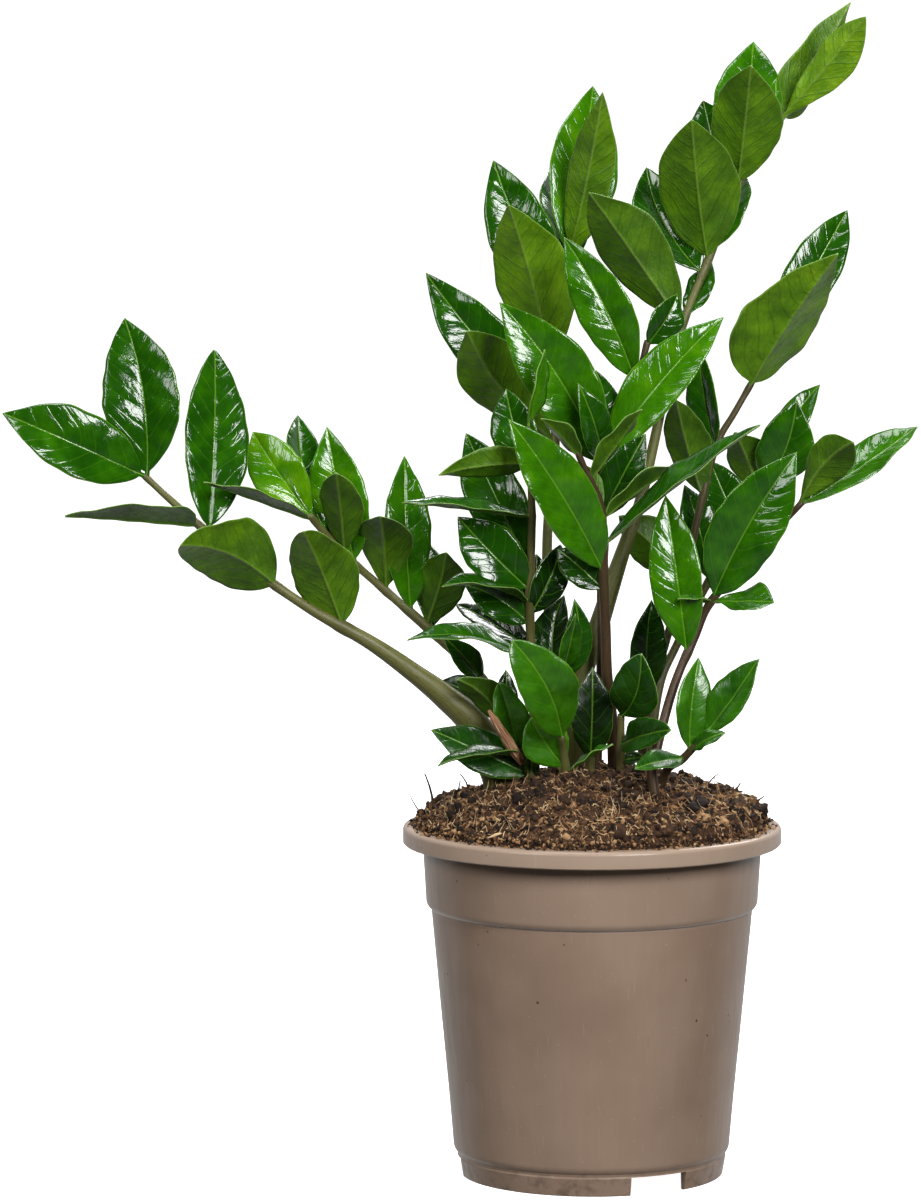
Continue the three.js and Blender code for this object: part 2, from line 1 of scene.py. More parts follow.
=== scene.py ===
"""A ZZ plant in its nursery pot: the fine leaves, stems, peat and pot over the CAD frame.

Shapes are worked out in millimetres about the pot's axis and put into the frame's metres when a mesh is
made. Things are placed as in the part's source, and the table of fronds is that of the source, apart from
a few leaflets that follow the photograph more closely here.
"""
import math

import bmesh
import bpy
import numpy as np
from mathutils import Euler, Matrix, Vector, noise


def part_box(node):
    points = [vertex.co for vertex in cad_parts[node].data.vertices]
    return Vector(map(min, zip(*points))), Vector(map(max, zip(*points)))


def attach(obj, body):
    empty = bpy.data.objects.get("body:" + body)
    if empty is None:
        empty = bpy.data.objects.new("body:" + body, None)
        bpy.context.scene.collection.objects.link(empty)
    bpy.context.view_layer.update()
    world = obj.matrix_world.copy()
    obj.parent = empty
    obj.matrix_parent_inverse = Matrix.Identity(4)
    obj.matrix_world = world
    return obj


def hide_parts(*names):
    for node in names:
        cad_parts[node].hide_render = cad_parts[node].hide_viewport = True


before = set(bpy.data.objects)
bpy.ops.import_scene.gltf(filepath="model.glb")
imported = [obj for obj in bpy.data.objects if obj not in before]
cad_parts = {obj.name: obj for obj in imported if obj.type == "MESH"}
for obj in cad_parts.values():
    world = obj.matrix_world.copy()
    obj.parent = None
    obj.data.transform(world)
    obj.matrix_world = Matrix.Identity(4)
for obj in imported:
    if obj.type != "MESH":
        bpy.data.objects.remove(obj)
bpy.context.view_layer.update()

# ---- Driving dimensions ----
MM = 0.001
POT_BOX = np.array([list(corner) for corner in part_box("pot")]) / MM
POT_AXIS = np.array([*POT_BOX.mean(axis=0)[:2], 0.0])

WALL = 1.8                   # wall of the pot
RIM_R = 86                   # the turned-down rim
RIM_TOP = POT_BOX[1][2]
RIM_BOTTOM = 152
RIM_ROUND = 2
RIM_THICKNESS = 2.6
COLLAR_TOP_R = 77            # the wide collar below the rim
COLLAR_FOOT_R = 75.5
COLLAR_FOOT = 122
COLLAR_ROUND = 4
BODY_TOP_R = 73              # the tapered body below the collar
BODY_FOOT_R = 63
BODY_FOOT = 15
BODY_ROUND = 5
FOOT_TOP_R = 61.5            # the foot ring
FOOT_R = 60
FOOT_TOP = 8.5
FLOOR_TOP = 11
NOTCH_ANGLES = [29.5, 149.5, 269.5]
NOTCH_SPREAD = 27            # degrees
DRAIN_R = 5
DRAIN_RING_R = 38
DRAINS = 6
CHAMFER = 0.3
SHARP = math.radians(28)     # edges of the pot that are steeper stay sharp
POT_SIDES = 192

GAP = 0.3                    # between the peat and the pot
SOIL_LIP_R = 79.5            # the heap's edge on the rim
SOIL_PEAK = 185
HEAP = [(73, 168.5), (60, 173), (42, 178.5), (22, 183.5)]  # radius and height
HEAP_RINGS = 84
HEAP_SIDES = 260
BURIED = 22                  # how far a stem goes down below its first point

BLADE = 0.9                  # thickness of a leaflet beside its rib
BLADE_EDGE = 0.35            # and at its edge
STALK = 0.04                 # share of a leaflet's length that is its stalk
STALK_HALF_WIDTH = 1.1
TIP_HALF_WIDTH = 0.12
STALK_THICKER = 0.9
LEAF_FOLD = math.radians(16)
LEAF_CELL = 1.0              # grid of a leaflet's mesh
FEWEST_ROWS = 12
FEWEST_COLUMNS = 8
RIB_HALF_WIDTH = 0.75
VEIN_SPACING = 8.2           # of the side veins, along the rib
CROSS_SPACING = 5.1          # of the folds that cross the side veins
QUILT = 0.011                # depth of the quilting, as a share of a leaflet's width
QUILT_MOST = 0.3
TIP_NOD = (0.3, 1.6)         # least and most that a tip bends back
EDGE_WAVE = (0.3, 0.8)       # least and most height of the waves in the edge
PAINTED_SHADE_BELOW = (210, 330)    # the heights over which low leaflets are painted darker, a painted shade
DULLER_BELOW = (205, 265)    # and duller
STEM_SIDES = 20
STEM_CELL = 2.5
LENGTH_STEPS = 60            # in which a stem's length is measured
STEM_PLACES = 200            # among which a leaflet's root is chosen
SWELL = 0.16                 # of a stem where a leaflet joins it
SWELL_REACH = 3.2

# ---- The photograph's camera ----
# Stems and leaflets are placed as they are seen from the front: a is mm to the right of the pot's axis,
# b is mm above the ground and back is mm behind the axis.
VIEW_REACH = 3000            # from the camera to the middle of what it sees
VIEW_DROP = math.radians(6.4)
VIEW_MIDDLE = np.array([-59.8, 0, 262.7])
VIEW_AHEAD = np.array([0, math.cos(VIEW_DROP), -math.sin(VIEW_DROP)])
VIEW_UP = np.array([0, math.sin(VIEW_DROP), math.cos(VIEW_DROP)])
EYE = VIEW_MIDDLE - VIEW_AHEAD * VIEW_REACH
VIEW_HEIGHT = 543.6          # of what the picture takes in, at the pot's axis
SENSOR = 36


def seen(a, b, back):
    """The point that is seen at a, b and lies back behind the pot's axis."""
    ray = VIEW_AHEAD * VIEW_REACH + np.array([a - VIEW_MIDDLE[0], 0, 0]) + VIEW_UP * (b - VIEW_MIDDLE[2])
    return EYE + ray * ((back - EYE[1]) / ray[1])


def camera():
    data = bpy.data.cameras.new("camera")
    data.sensor_width = SENSOR
    data.lens = SENSOR * VIEW_REACH / VIEW_HEIGHT
    data.clip_end = 200
    camera_object = bpy.data.objects.new("camera", data)
    camera_object.location = (EYE + POT_AXIS) * MM
    camera_object.rotation_euler = (math.pi / 2 - VIEW_DROP, 0, 0)
    bpy.context.scene.collection.objects.link(camera_object)
    bpy.context.scene.camera = camera_object


# ---- The fronds ----
def leaf(base, tip, back, wide, turn, tone, arch=4, bend=0, peak=0.47, blunt=0.0):
    """A leaflet as in the part's source: its base and tip as they are seen, how far behind its base its
    tip is, its width and its turn in degrees. Its tone goes from 0, dark and old, to 1, light and new,
    and blunt from 0, with a drawn-out tip, to 1, with a round one."""
    return {"base": base, "tip": tip, "back": back, "wide": wide, "turn": turn, "tone": tone,
            "arch": arch, "bend": bend, "peak": peak, "blunt": blunt}


def frond(name, brown, stem, leaves):
    """A frond or shoot, with how brown its stem is and the stem's points: a, b, back and radius."""
    return {"name": name, "brown": brown, "stem": stem, "leaves": leaves}


FRONDS = [
    frond("frond_left_front", 0.35, [
        (-41, 178, 5, 8), (-45, 190, 4, 8), (-54, 207, 2, 7), (-67, 219, 0, 5.7), (-80, 229, -3, 4.5),
        (-100, 243, -6, 3.4), (-130, 260, -8, 2.3), (-162, 283, -5, 1.9), (-190, 307, 0, 1.7),
        (-203, 319, 2, 1.4)
    ], [
        leaf((-203, 318), (-267, 347.5), -12, 33, 18, 0.38, bend=-1),
        leaf((-202, 318), (-212, 390.5), 14, 37, -12, 0.36, bend=4.5),
        leaf((-174, 294), (-171, 376.5), 34, 31, 15, 0.36, peak=0.44, blunt=0.4),
        leaf((-178, 297), (-239, 301.5), -22, 32, 103, 0.35, arch=0, peak=0.3, blunt=0.6),
        leaf((-141, 270), (-187, 288), -34, 35, 160, 0.5, bend=4, peak=0.4, blunt=0.8),
        leaf((-112, 251), (-131, 294), -30, 31, 168, 0.55, peak=0.42, blunt=0.8),
    ]),
    frond("frond_left_back", 0.3, [
        (-28, 183, 22, 3.2), (-35, 195, 24, 3), (-44, 214, 26, 2.8), (-52, 229, 27, 2.6),
        (-70, 246, 28, 2.3), (-95, 268, 26, 1.9), (-112, 283, 20, 1.7), (-124, 296, 13, 1.5),
        (-128, 301, 10, 1.4)
    ], [
        leaf((-127, 299), (-176, 316.5), -26, 19, 98, 0.3, arch=0),
        leaf((-126, 298), (-154, 339), 14, 25, 0, 0.7, arch=2, bend=-1, peak=0.55),
        leaf((-121, 292), (-133, 347), 30, 23, 38, 0.3, arch=2, bend=-6),
        leaf((-107, 279), (-120.5, 341), 2, 27, -10, 0.6, arch=3),
        leaf((-112, 283), (-116, 321), -30, 21, 165, 0.38, arch=1, peak=0.55),
        leaf((-94, 267), (-96, 301), -28, 26, 168, 0.4, peak=0.55),
        leaf((-82, 257), (-85, 328), 10, 23, 15, 0.5, bend=-2),
        leaf((-73, 249), (-76, 291), 30, 20, 20, 0.3, arch=2),
        leaf((-75, 251), (-66, 284.5), -20, 23, 165, 0.4),
        leaf((-50, 226), (-67, 246), -14, 13, 20, 0.4, arch=2),
        leaf((-45, 214), (-69, 226.5), 6, 15, 20, 0.35, arch=2),
    ]),
    frond("frond_centre_left", 0.5, [
        (-26, 186, 5, 2.2), (-27, 215, 3, 2), (-28, 244, 1, 1.9), (-28.5, 262, -1, 1.9),
        (-27.5, 297, -5, 1.8), (-28, 320, -8, 1.6), (-29, 341, -11, 1.4)
    ], [
        leaf((-28, 234), (-83.5, 245.5), -18, 19, 66, 0.45, arch=7),
        leaf((-28, 240), (-62, 262), 30, 20, 45, 0.15, arch=1),
        leaf((-28, 252), (-58, 270), 0, 20, 10, 0.3, arch=2, bend=2),
        leaf((-28, 262), (-68, 269.5), -26, 19, 78, 0.4),
        leaf((-28, 267), (-61, 300.5), 2, 26, 5, 0.35, bend=-1),
        leaf((-28, 277), (-57.5, 338.5), 26, 27, -5, 0.4, arch=3),
        leaf((-28, 301), (-86, 308), -20, 20, 78, 0.35, arch=0),
        leaf((-28, 325), (-70, 319.5), -20, 17, 145, 0.45, bend=-1, peak=0.28),
        leaf((-28, 320), (-39.5, 358.5), 10, 22, -15, 0.35),
        leaf((-29, 341), (-20.5, 376), 4, 17, 68, 0.6, arch=0, bend=-3),
        leaf((-28, 256), (-14, 288), 8, 17, 20, 0.1),
        leaf((-28, 255), (-25, 284), 18, 12, 10, 0.15, arch=2),
    ]),
    frond("frond_centre_back", 0.2, [
        (-17, 187, 29, 2.8), (-18, 230, 34, 2.6), (-20.5, 275, 41, 2.4), (-20, 300, 46, 2.2),
        (-17, 330, 54, 2), (-18, 370, 64, 1.8), (-15, 400, 72, 1.6), (-10, 420, 78, 1.4)
    ], [
        leaf((-18, 347), (-75.5, 411), 4, 28, 0, 0.3, bend=-3),
        leaf((-17, 334), (-57, 385), -30, 33, 165, 0.5, bend=-5, peak=0.55),
        leaf((-18, 370), (-38, 442), -24, 38, 165, 0.62),
        leaf((-15, 395), (-45, 462), 8, 31, 0, 0.35, bend=-2),
        leaf((-11, 417), (0.5, 496), 30, 33, 10, 0.6, arch=2),
        leaf((-11, 418), (5, 493), -24, 23, 160, 0.55, arch=0, bend=1),
        leaf((-13, 408), (-20, 457), 28, 26, 40, 0.3, bend=-1),
    ]),
    frond("frond_centre_front", 0.9, [
        (10, 187, 4, 3.2), (9, 205, 3, 2.8), (6.5, 230, 0, 2.5), (6, 250, -3, 2.3), (5, 275, -7, 2.1),
        (5, 290, -9, 2), (3, 308, -13, 1.7), (-2, 319, -16, 1.5), (-7, 330, -19, 1.3)
    ], [
        leaf((5, 275), (-37.5, 344.5), -20, 29, 18, 0.55, bend=1),
        leaf((5, 288), (75, 343), -10, 26, -73, 0.35, arch=1),
        leaf((4, 300), (39.5, 324.5), 14, 17, -115, 0.15, arch=1),
        leaf((-1, 318), (21.5, 350), -8, 18, -115, 0.35, arch=0, bend=2),
        leaf((-6, 327), (-23, 345.5), -10, 16, 120, 0.3, arch=1),
        leaf((3, 302), (-15, 326.5), 8, 18, 165, 0.45, arch=2),
        leaf((5, 267), (-16, 286), 6, 18, 10, 0.2, arch=2),
    ]),
    frond("frond_centre_right", 0.8, [
        (2, 188, 10, 2.3), (3.5, 215, 9, 2.2), (4, 240, 9, 2.2), (4, 265, 10, 2.1), (4, 290, 13, 2),
        (4, 320, 18, 1.9), (10, 340, 21, 1.8), (20, 362, 25, 1.6), (25, 380, 28, 1.4)
    ], [
        leaf((4, 323), (-42, 397.5), -8, 33, 3, 0.5, bend=4.5),
        leaf((4, 325), (-6, 360.5), -18, 16, 20, 0.35),
        leaf((6, 328), (59, 391), 2, 27, -20, 0.58, bend=-1),
        leaf((20, 361), (-13, 427), 6, 26, -12, 0.5, bend=3.5),
        leaf((4, 300), (24, 338), -4, 20, -10, 0.2, arch=2),
        leaf((25, 378), (39, 401), 2, 18, 30, 0.3, arch=2),
        leaf((4, 324), (2, 367), 14, 20, 20, 0.3),
    ]),
    frond("frond_tall", 0.25, [
        (-8, 188, 20, 5.6), (-5, 228, 21, 5.2), (1, 245, 23, 4.8), (9, 270, 25, 4), (15, 288, 28, 3.2),
        (21, 305, 31, 2.7), (27, 330, 35, 2.4), (34, 362, 40, 2.1), (41, 388, 44, 1.9),
        (53, 418, 51, 1.8), (66, 451, 59, 1.6), (78, 470, 64, 1.5), (87, 483, 67, 1.4)
    ], [
        leaf((41, 387), (-1.5, 447.5), -20, 33, 160, 0.38, bend=-1, peak=0.52),
        leaf((52, 416), (45, 481), -28, 39, 175, 0.45, arch=1, bend=-1),
        leaf((50, 411), (24.5, 459), 26, 30, 20, 0.3, arch=2, bend=-6),
        leaf((43, 391), (54, 416), 10, 13, -20, 0.4, arch=1, bend=1),
        leaf((54, 421), (69, 456), 22, 22, -30, 0.4, arch=2, bend=1),
        leaf((66, 451), (72, 505.5), -28, 34, 170, 0.5, arch=1),
        leaf((62, 441), (50, 489.5), 32, 26, 0, 0.3, arch=2),
        leaf((68, 455), (73, 516), 24, 33, 0, 0.5, arch=2),
        leaf((86, 480), (116, 533.5), 28, 26, -140, 0.5, arch=2, bend=3, peak=0.34),
        leaf((85, 479), (124, 527), -22, 21, 160, 0.7, arch=1, bend=0.5, peak=0.6),
    ]),
    frond("frond_right_back", 0.7, [
        (22, 188, 24, 2.2), (27, 222, 28, 2), (33, 243, 31, 1.9), (42, 275, 35, 1.8),
        (50, 310, 40, 1.7), (57, 335, 44, 1.6), (64, 347, 46, 1.5), (72, 361, 49, 1.4),
        (77, 370, 51, 1.3)
    ], [
        leaf((70, 359), (111, 420), -24, 45, -137, 0.55, arch=2, peak=0.35),
        leaf((77, 370), (115.5, 439.5), 20, 25, 0, 0.35, arch=3, peak=0.56),
        leaf((56, 332), (48, 378), -6, 17, -35, 0.35, arch=2),
        leaf((50, 310), (38, 354), -18, 22, 165, 0.3, bend=-2),
        leaf((27, 220), (27, 262.5), -8, 19, 20, 0.3, bend=-4),
        leaf((42, 275), (12, 301), 3, 24, 172, 0.3, arch=1),
    ]),
    frond("frond_right_rear", 0.5, [
        (26, 187, 36, 2.2), (31, 226, 42, 2), (38, 242, 46, 1.9), (52, 270, 51, 1.8),
        (66, 295, 57, 1.6), (80, 318, 62, 1.4)
    ], [
        leaf((80, 317), (103, 360.5), 14, 16, -15, 0.45, bend=-2),
        leaf((79, 316), (92.5, 353), -14, 27, 0, 0.4, bend=3),
        leaf((76, 311), (64.5, 339), -8, 22, 160, 0.4, arch=2),
        leaf((66, 294), (53, 326), 4, 20, 10, 0.35, arch=2),
        leaf((53, 271), (42, 315), 6, 20, 20, 0.3),
    ]),
    frond("frond_right_front", 1.0, [
        (28.5, 171, -36, 2.4), (27, 186, -34, 2.3), (29, 195, -32, 2.3), (32, 207, -28, 2.2),
        (36, 221, -23, 2.1), (40, 232, -19, 2), (46, 245, -16, 1.9), (53, 261, -14, 1.8),
        (70, 280, -16, 1.6), (95, 307, -22, 1.3)
    ], [
        leaf((54, 263), (92.5, 329.5), -14, 33, 0, 0.45, bend=-2.5),
        leaf((94, 306), (118.5, 334.5), -26, 21, 170, 0.4, arch=2, bend=-4, peak=0.6),
        leaf((94, 306), (147, 341.5), 14, 26, -48, 0.5, arch=0, bend=2),
        leaf((53, 262), (39, 264.5), -12, 10, 80, 0.6, arch=0),
        leaf((54, 262), (82, 262), -18, 18, -45, 0.55, arch=0, peak=0.68),
        leaf((43, 238), (33, 310), 8, 25, -10, 0.6, bend=1),
    ]),
    frond("shoot_right", 0.9, [
        (31, 177, -22, 2), (34, 186, -24, 1.9), (40, 190, -26, 1.7), (44, 194, -27, 1.6),
        (52, 203, -28, 1.3)
    ], [
        leaf((44, 194), (48.5, 236.5), 4, 18, 25, 0.66, arch=2, bend=-2.5),
        leaf((51, 202), (75, 236), -10, 20, -35, 0.58, arch=0, bend=1),
        leaf((45, 195), (59, 203), -10, 8, -30, 0.55, arch=1, blunt=0.8),
        leaf((41, 191), (20, 187), -32, 12, 35, 0.5, arch=1, blunt=0.6),
    ]),
    frond("shoot_front", 0.3, [
        (-12, 183, -10, 2), (-13, 193, -14, 1.8), (-14, 201, -20, 1.5)
    ], [
        leaf((-14, 200), (-36, 244), -20, 28, 10, 0.66, bend=3.5, blunt=0.9),
        leaf((-12, 187), (-28, 209), -6, 22, 0, 0.68, arch=1, bend=-1, peak=0.55, blunt=1),
        leaf((-12, 185), (8.5, 198.5), -6, 8, -80, 0.5, arch=0, bend=1),
    ]),
    frond("shoot_left", 0.6, [
        (-27, 180, -6, 2.2), (-32, 191, -7, 2.1), (-37, 201, -7, 2), (-42, 210, -7, 1.9),
        (-47, 217, -8, 1.6)
    ], [
        leaf((-39, 205), (-61, 227.5), -10, 17, 155, 0.4, arch=1, bend=3, blunt=0.8),
        leaf((-33, 193), (-42, 225), -12, 17, 8, 0.66, arch=2, blunt=0.8),
        leaf((-28, 183), (-73, 204), -2, 21, 15, 0.4, arch=1),
        leaf((-33, 193), (-70, 189), -36, 16, 75, 0.35, arch=2, peak=0.35),
        leaf((-28, 181), (-28, 194), -6, 7, 10, 0.3, arch=0),
        leaf((-40, 207), (-39, 231), 3, 11, 20, 0.2, arch=1),
    ]),
    frond("shoot_centre_right", 0.4, [
        (13, 186, -8, 2), (13, 198, -9, 1.8), (13, 211, -10, 1.4)
    ], [
        leaf((13, 210), (22, 238), -20, 24, -15, 0.38, arch=2, bend=4, peak=0.5, blunt=0.6),
        leaf((13, 197), (35, 204), -38, 17, -30, 0.36, arch=2, blunt=0.8),
        leaf((13, 190), (23, 192), -6, 7, -30, 0.3, arch=0),
    ]),
    frond("shoot_centre_left", 0.4, [
        (-15, 186, 2, 1.9), (-15.5, 210, 1, 1.7), (-14, 231, 0, 1.4)
    ], [
        leaf((-15, 222), (-13, 265), 12, 20, -25, 0.15, bend=-3),
        leaf((-14, 229), (-7.5, 256), -14, 11, 30, 0.5, arch=1),
        leaf((-14, 226), (-8, 263), -3, 14, 15, 0.4, arch=2, bend=4),
    ]),
    frond("shoot_centre", 0.4, [
        (-1, 186, -2, 1.9), (-1, 194, -3, 1.6)
    ], [
        leaf((0, 190), (0, 232), -4, 20, 5, 0.15),
    ]),
]


# ---- Meshes ----
def add_piece(name, node, vertices, faces, materials, face_materials=None, attributes=None):
    """Makes a smooth piece from points in mm about the pot's axis. It rides on the only body."""
    mesh = bpy.data.meshes.new(name)
    places = (np.asarray(vertices) + POT_AXIS) * MM
    mesh.from_pydata(places.tolist(), [], [list(face) for face in faces])
    for material in materials:
        mesh.materials.append(material)
    if face_materials is not None:
        mesh.polygons.foreach_set("material_index", np.asarray(face_materials, dtype=np.int32))
    for key, values in (attributes or {}).items():
        attribute = mesh.attributes.new(key, "FLOAT", "POINT")
        attribute.data.foreach_set("value", np.asarray(values, dtype=np.float32))
    mesh.shade_smooth()
    mesh.update()
    piece = bpy.data.objects.new(name, mesh)
    bpy.context.scene.collection.objects.link(piece)
    if node:
        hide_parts(node)
    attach(piece, "root")
    return piece


class Parts:
    """Gathers the vertices, faces and attributes of many small closed forms into one mesh."""

    def __init__(self):
        self.vertices, self.faces, self.face_materials, self.attributes = [], [], [], {}
        self.count = 0

    def add(self, vertices, faces, face_materials=None, **attributes):
        self.vertices.append(np.asarray(vertices))
        self.faces.extend((np.asarray(face) + self.count).tolist() for face in faces)
        self.face_materials.extend(face_materials or [0] * len(faces))
        for key, values in attributes.items():
            self.attributes.setdefault(key, []).append(np.broadcast_to(values, len(vertices)))
        self.count += len(vertices)

    def make(self, name, node, materials):
        attributes = {key: np.concatenate(values) for key, values in self.attributes.items()}
        return add_piece(name, node, np.concatenate(self.vertices), self.faces, materials,
                         self.face_materials, attributes)


def unit(vector):
    return vector / np.linalg.norm(vector)


def unit_rows(vectors):
    return vectors / np.linalg.norm(vectors, axis=1)[:, None]


def ring_angles(sides):
    return 2 * math.pi * np.arange(sides) / sides


def ring_faces(rings, sides):
    """Faces between rings of vertices. The two vertices after the rings close the first and the last."""
    faces = []
    for i in range(rings - 1):
        for j in range(sides):
            k = (j + 1) % sides
            faces.append((i * sides + j, i * sides + k, (i + 1) * sides + k, (i + 1) * sides + j))
    low, high, last = rings * sides, rings * sides + 1, (rings - 1) * sides
    for j in range(sides):
        k = (j + 1) % sides
        faces.append((low, k, j))
        faces.append((high, last + j, last + k))
    return faces


# ---- Stems ----
def stem_points(frond):
    points = [seen(a, b, back) for a, b, back, _ in frond["stem"]]
    return np.array([points[0] - (0, 0, BURIED), *points])


def curve_point(points, t):
    """A point on the centripetal Catmull-Rom curve that the part's source uses."""
    last = len(points) - 1
    span = min(int(t * last), last - 1)
    share = t * last - span
    p1, p2 = points[span], points[span + 1]
    p0 = points[span - 1] if span else 2 * p1 - p2
    p3 = points[span + 2] if span + 2 <= last else 2 * p2 - p1
    d0, d1, d2 = (math.sqrt(np.linalg.norm(b - a)) for a, b in ((p0, p1), (p1, p2), (p2, p3)))
    slope1 = ((p1 - p0) / d0 - (p2 - p0) / (d0 + d1) + (p2 - p1) / d1) * d1
    slope2 = ((p2 - p1) / d1 - (p3 - p1) / (d1 + d2) + (p3 - p2) / d2) * d1
    cubic = 2 * p1 - 2 * p2 + slope1 + slope2
    square = -3 * p1 + 3 * p2 - 2 * slope1 - slope2
    return ((cubic * share + square) * share + slope1) * share + p1


def curve_points(points, count):
    return np.array([curve_point(points, i / count) for i in range(count + 1)])


def stem_radius(frond, t):
    radii = [frond["stem"][0][3], *(point[3] for point in frond["stem"])]
    return np.interp(t * (len(radii) - 1), range(len(radii)), radii)


def tube(line, radii, sides, flatten=1.0):
    """A closed tube along a line, with domed ends. Each row of radii belongs to a point of the line and
    has one radius, or one for each side. Gives vertices, faces and how far along each vertex is."""
    tangents = unit_rows(np.gradient(line, axis=0))
    normals = [unit(np.cross(tangents[0], (0.31, 0.87, 0.22)))]
    for tangent in tangents[1:]:
        normals.append(unit(normals[-1] - tangent * normals[-1].dot(tangent)))
    normals = np.array(normals)
    binormals = np.cross(tangents, normals)
    angles = ring_angles(sides)[None, :, None]
    ring = np.cos(angles) * normals[:, None, :] + flatten * np.sin(angles) * binormals[:, None, :]
    body = line[:, None, :] + ring * radii[:, :, None]
    mean = radii.mean(axis=1)
    ends = [line[0] - tangents[0] * mean[0] * 0.5, line[-1] + tangents[-1] * mean[-1] * 0.7]
    vertices = np.concatenate([body.reshape(-1, 3), ends])
    along = np.concatenate([[0], np.cumsum(np.linalg.norm(np.diff(line, axis=0), axis=1))])
    return vertices, ring_faces(len(line), sides), np.append(np.repeat(along, sides), [0, along[-1]])


def stem_piece(frond, material, rng):
    """The stem: a tapered tube that swells where a leaflet joins it, with fine ribs along it."""
    points = stem_points(frond)
    length = np.linalg.norm(np.diff(curve_points(points, LENGTH_STEPS), axis=0), axis=1).sum()
    count = int(length / STEM_CELL)
    line = curve_points(points, count)
    radii = np.array([stem_radius(frond, i / count) for i in range(count + 1)])
    swell = np.zeros(len(line))
    for item in frond["leaves"]:
        root = leaf_frame(item, points)[0]
        distance = np.linalg.norm(line - root, axis=1)
        swell = np.maximum(swell, np.exp(-(distance / SWELL_REACH) ** 2))
    angles = ring_angles(STEM_SIDES)
    ribs = 1 + 0.018 * np.cos(5 * angles + rng.uniform(0, 6))
    ribs += 0.012 * np.cos(9 * angles + rng.uniform(0, 6))
    widths = (radii * (1 + SWELL * swell))[:, None] * ribs[None, :]
    vertices, faces, along = tube(line, widths, STEM_SIDES)
    attributes = {"along": along, "brown": np.full(len(vertices), frond["brown"]),
                  "joint": np.append(np.repeat(swell, STEM_SIDES), [0, 0]),
                  "angle": np.append(np.tile(np.cos(angles), len(line)), [0, 0])}
    return add_piece(frond["name"] + "_stem", frond["name"], vertices, faces, [material],
                     attributes=attributes)


SHEATH = ((-32, 189, -8), (-47, 213, -21))      # foot on the left shoot's stem, and tip


def sheath_piece(material):
    """The dried sheath at the foot of the left shoot: a curled papery blade that leans to the front."""
    low, high = (seen(*end) for end in SHEATH)
    rows, columns = 26, 14
    t = np.linspace(0, 1, rows + 1)
    line = low + (high - low) * t[:, None] + np.array([0, -2.5, 0]) * (t * (1 - t) * 4)[:, None]
    radii = np.interp(t, (0, 0.2, 0.85, 1), (1.6, 2.3, 1.9, 1.0))
    open_angle = math.radians(80) * np.sin(np.linspace(0.6, math.pi - 0.25, rows + 1)) ** 0.6
    tangents = unit_rows(np.gradient(line, axis=0))
    front = unit_rows(np.array([0, -1.0, 0]) - tangents * -tangents[:, 1:2])
    side = np.cross(tangents, front)
    angles = open_angle[:, None] * np.linspace(-1, 1, columns + 1)[None, :]
    crease = 0.22 * np.sin(9 * angles + 0.7 * np.arange(rows + 1)[:, None])
    ring = np.cos(angles)[..., None] * front[:, None, :] + np.sin(angles)[..., None] * side[:, None, :]
    vertices = []
    for half_thick in (0.2, -0.2):
        reach = (radii[:, None] + half_thick + crease)[..., None]
        vertices.extend((line[:, None, :] + reach * ring).reshape(-1, 3))
    faces, _ = grid_faces(rows, columns)
    attributes = {"across": np.tile(np.sin(angles).ravel(), 2),
                  "along": np.tile(np.repeat(t, columns + 1), 2)}
    return add_piece("shoot_left_sheath", "", vertices, faces, [material], attributes=attributes)


# ---- Leaflets ----
def outline(t, peak, blunt):
    """The width of a leaflet at t from its base to its tip, as a share of its greatest width."""
    along = np.maximum(0, (t - STALK) / (1 - STALK))
    skewed = along ** (math.log(0.5) / math.log(peak))
    return np.maximum(0, np.sin(math.pi * skewed)) ** (0.7 + (0.2 - 0.4 * blunt) * smooth_step(0.6, 1, t))


def leaf_frame(item, points):
    """The leaflet's root on the stem, its length, direction, upper face's normal and side."""
    places = curve_points(points, STEM_PLACES)
    wanted = np.array([seen(*item["base"], place[1]) for place in places])
    root = places[np.argmin(np.linalg.norm(places - wanted, axis=1))]
    along = seen(*item["tip"], root[1] + item["back"]) - root
    length = np.linalg.norm(along)
    along /= length
    front = EYE - root
    front = unit(front - along * front.dot(along))
    turn = math.radians(item["turn"])
    normal = front * math.cos(turn) + np.cross(along, front) * math.sin(turn)
    return root, length, along, normal, np.cross(along, normal)


def smooth_step(low, high, x):
    share = np.clip((x - low) / (high - low), 0, 1)
    return share * share * (3 - 2 * share)


def ripple(rng, t, fewest, most, shift):
    """Between fewest and most waves along a leaflet, from a random start, which shift moves on."""
    return np.sin(2 * math.pi * rng.uniform(fewest, most) * t + rng.uniform(0, 6) + shift)


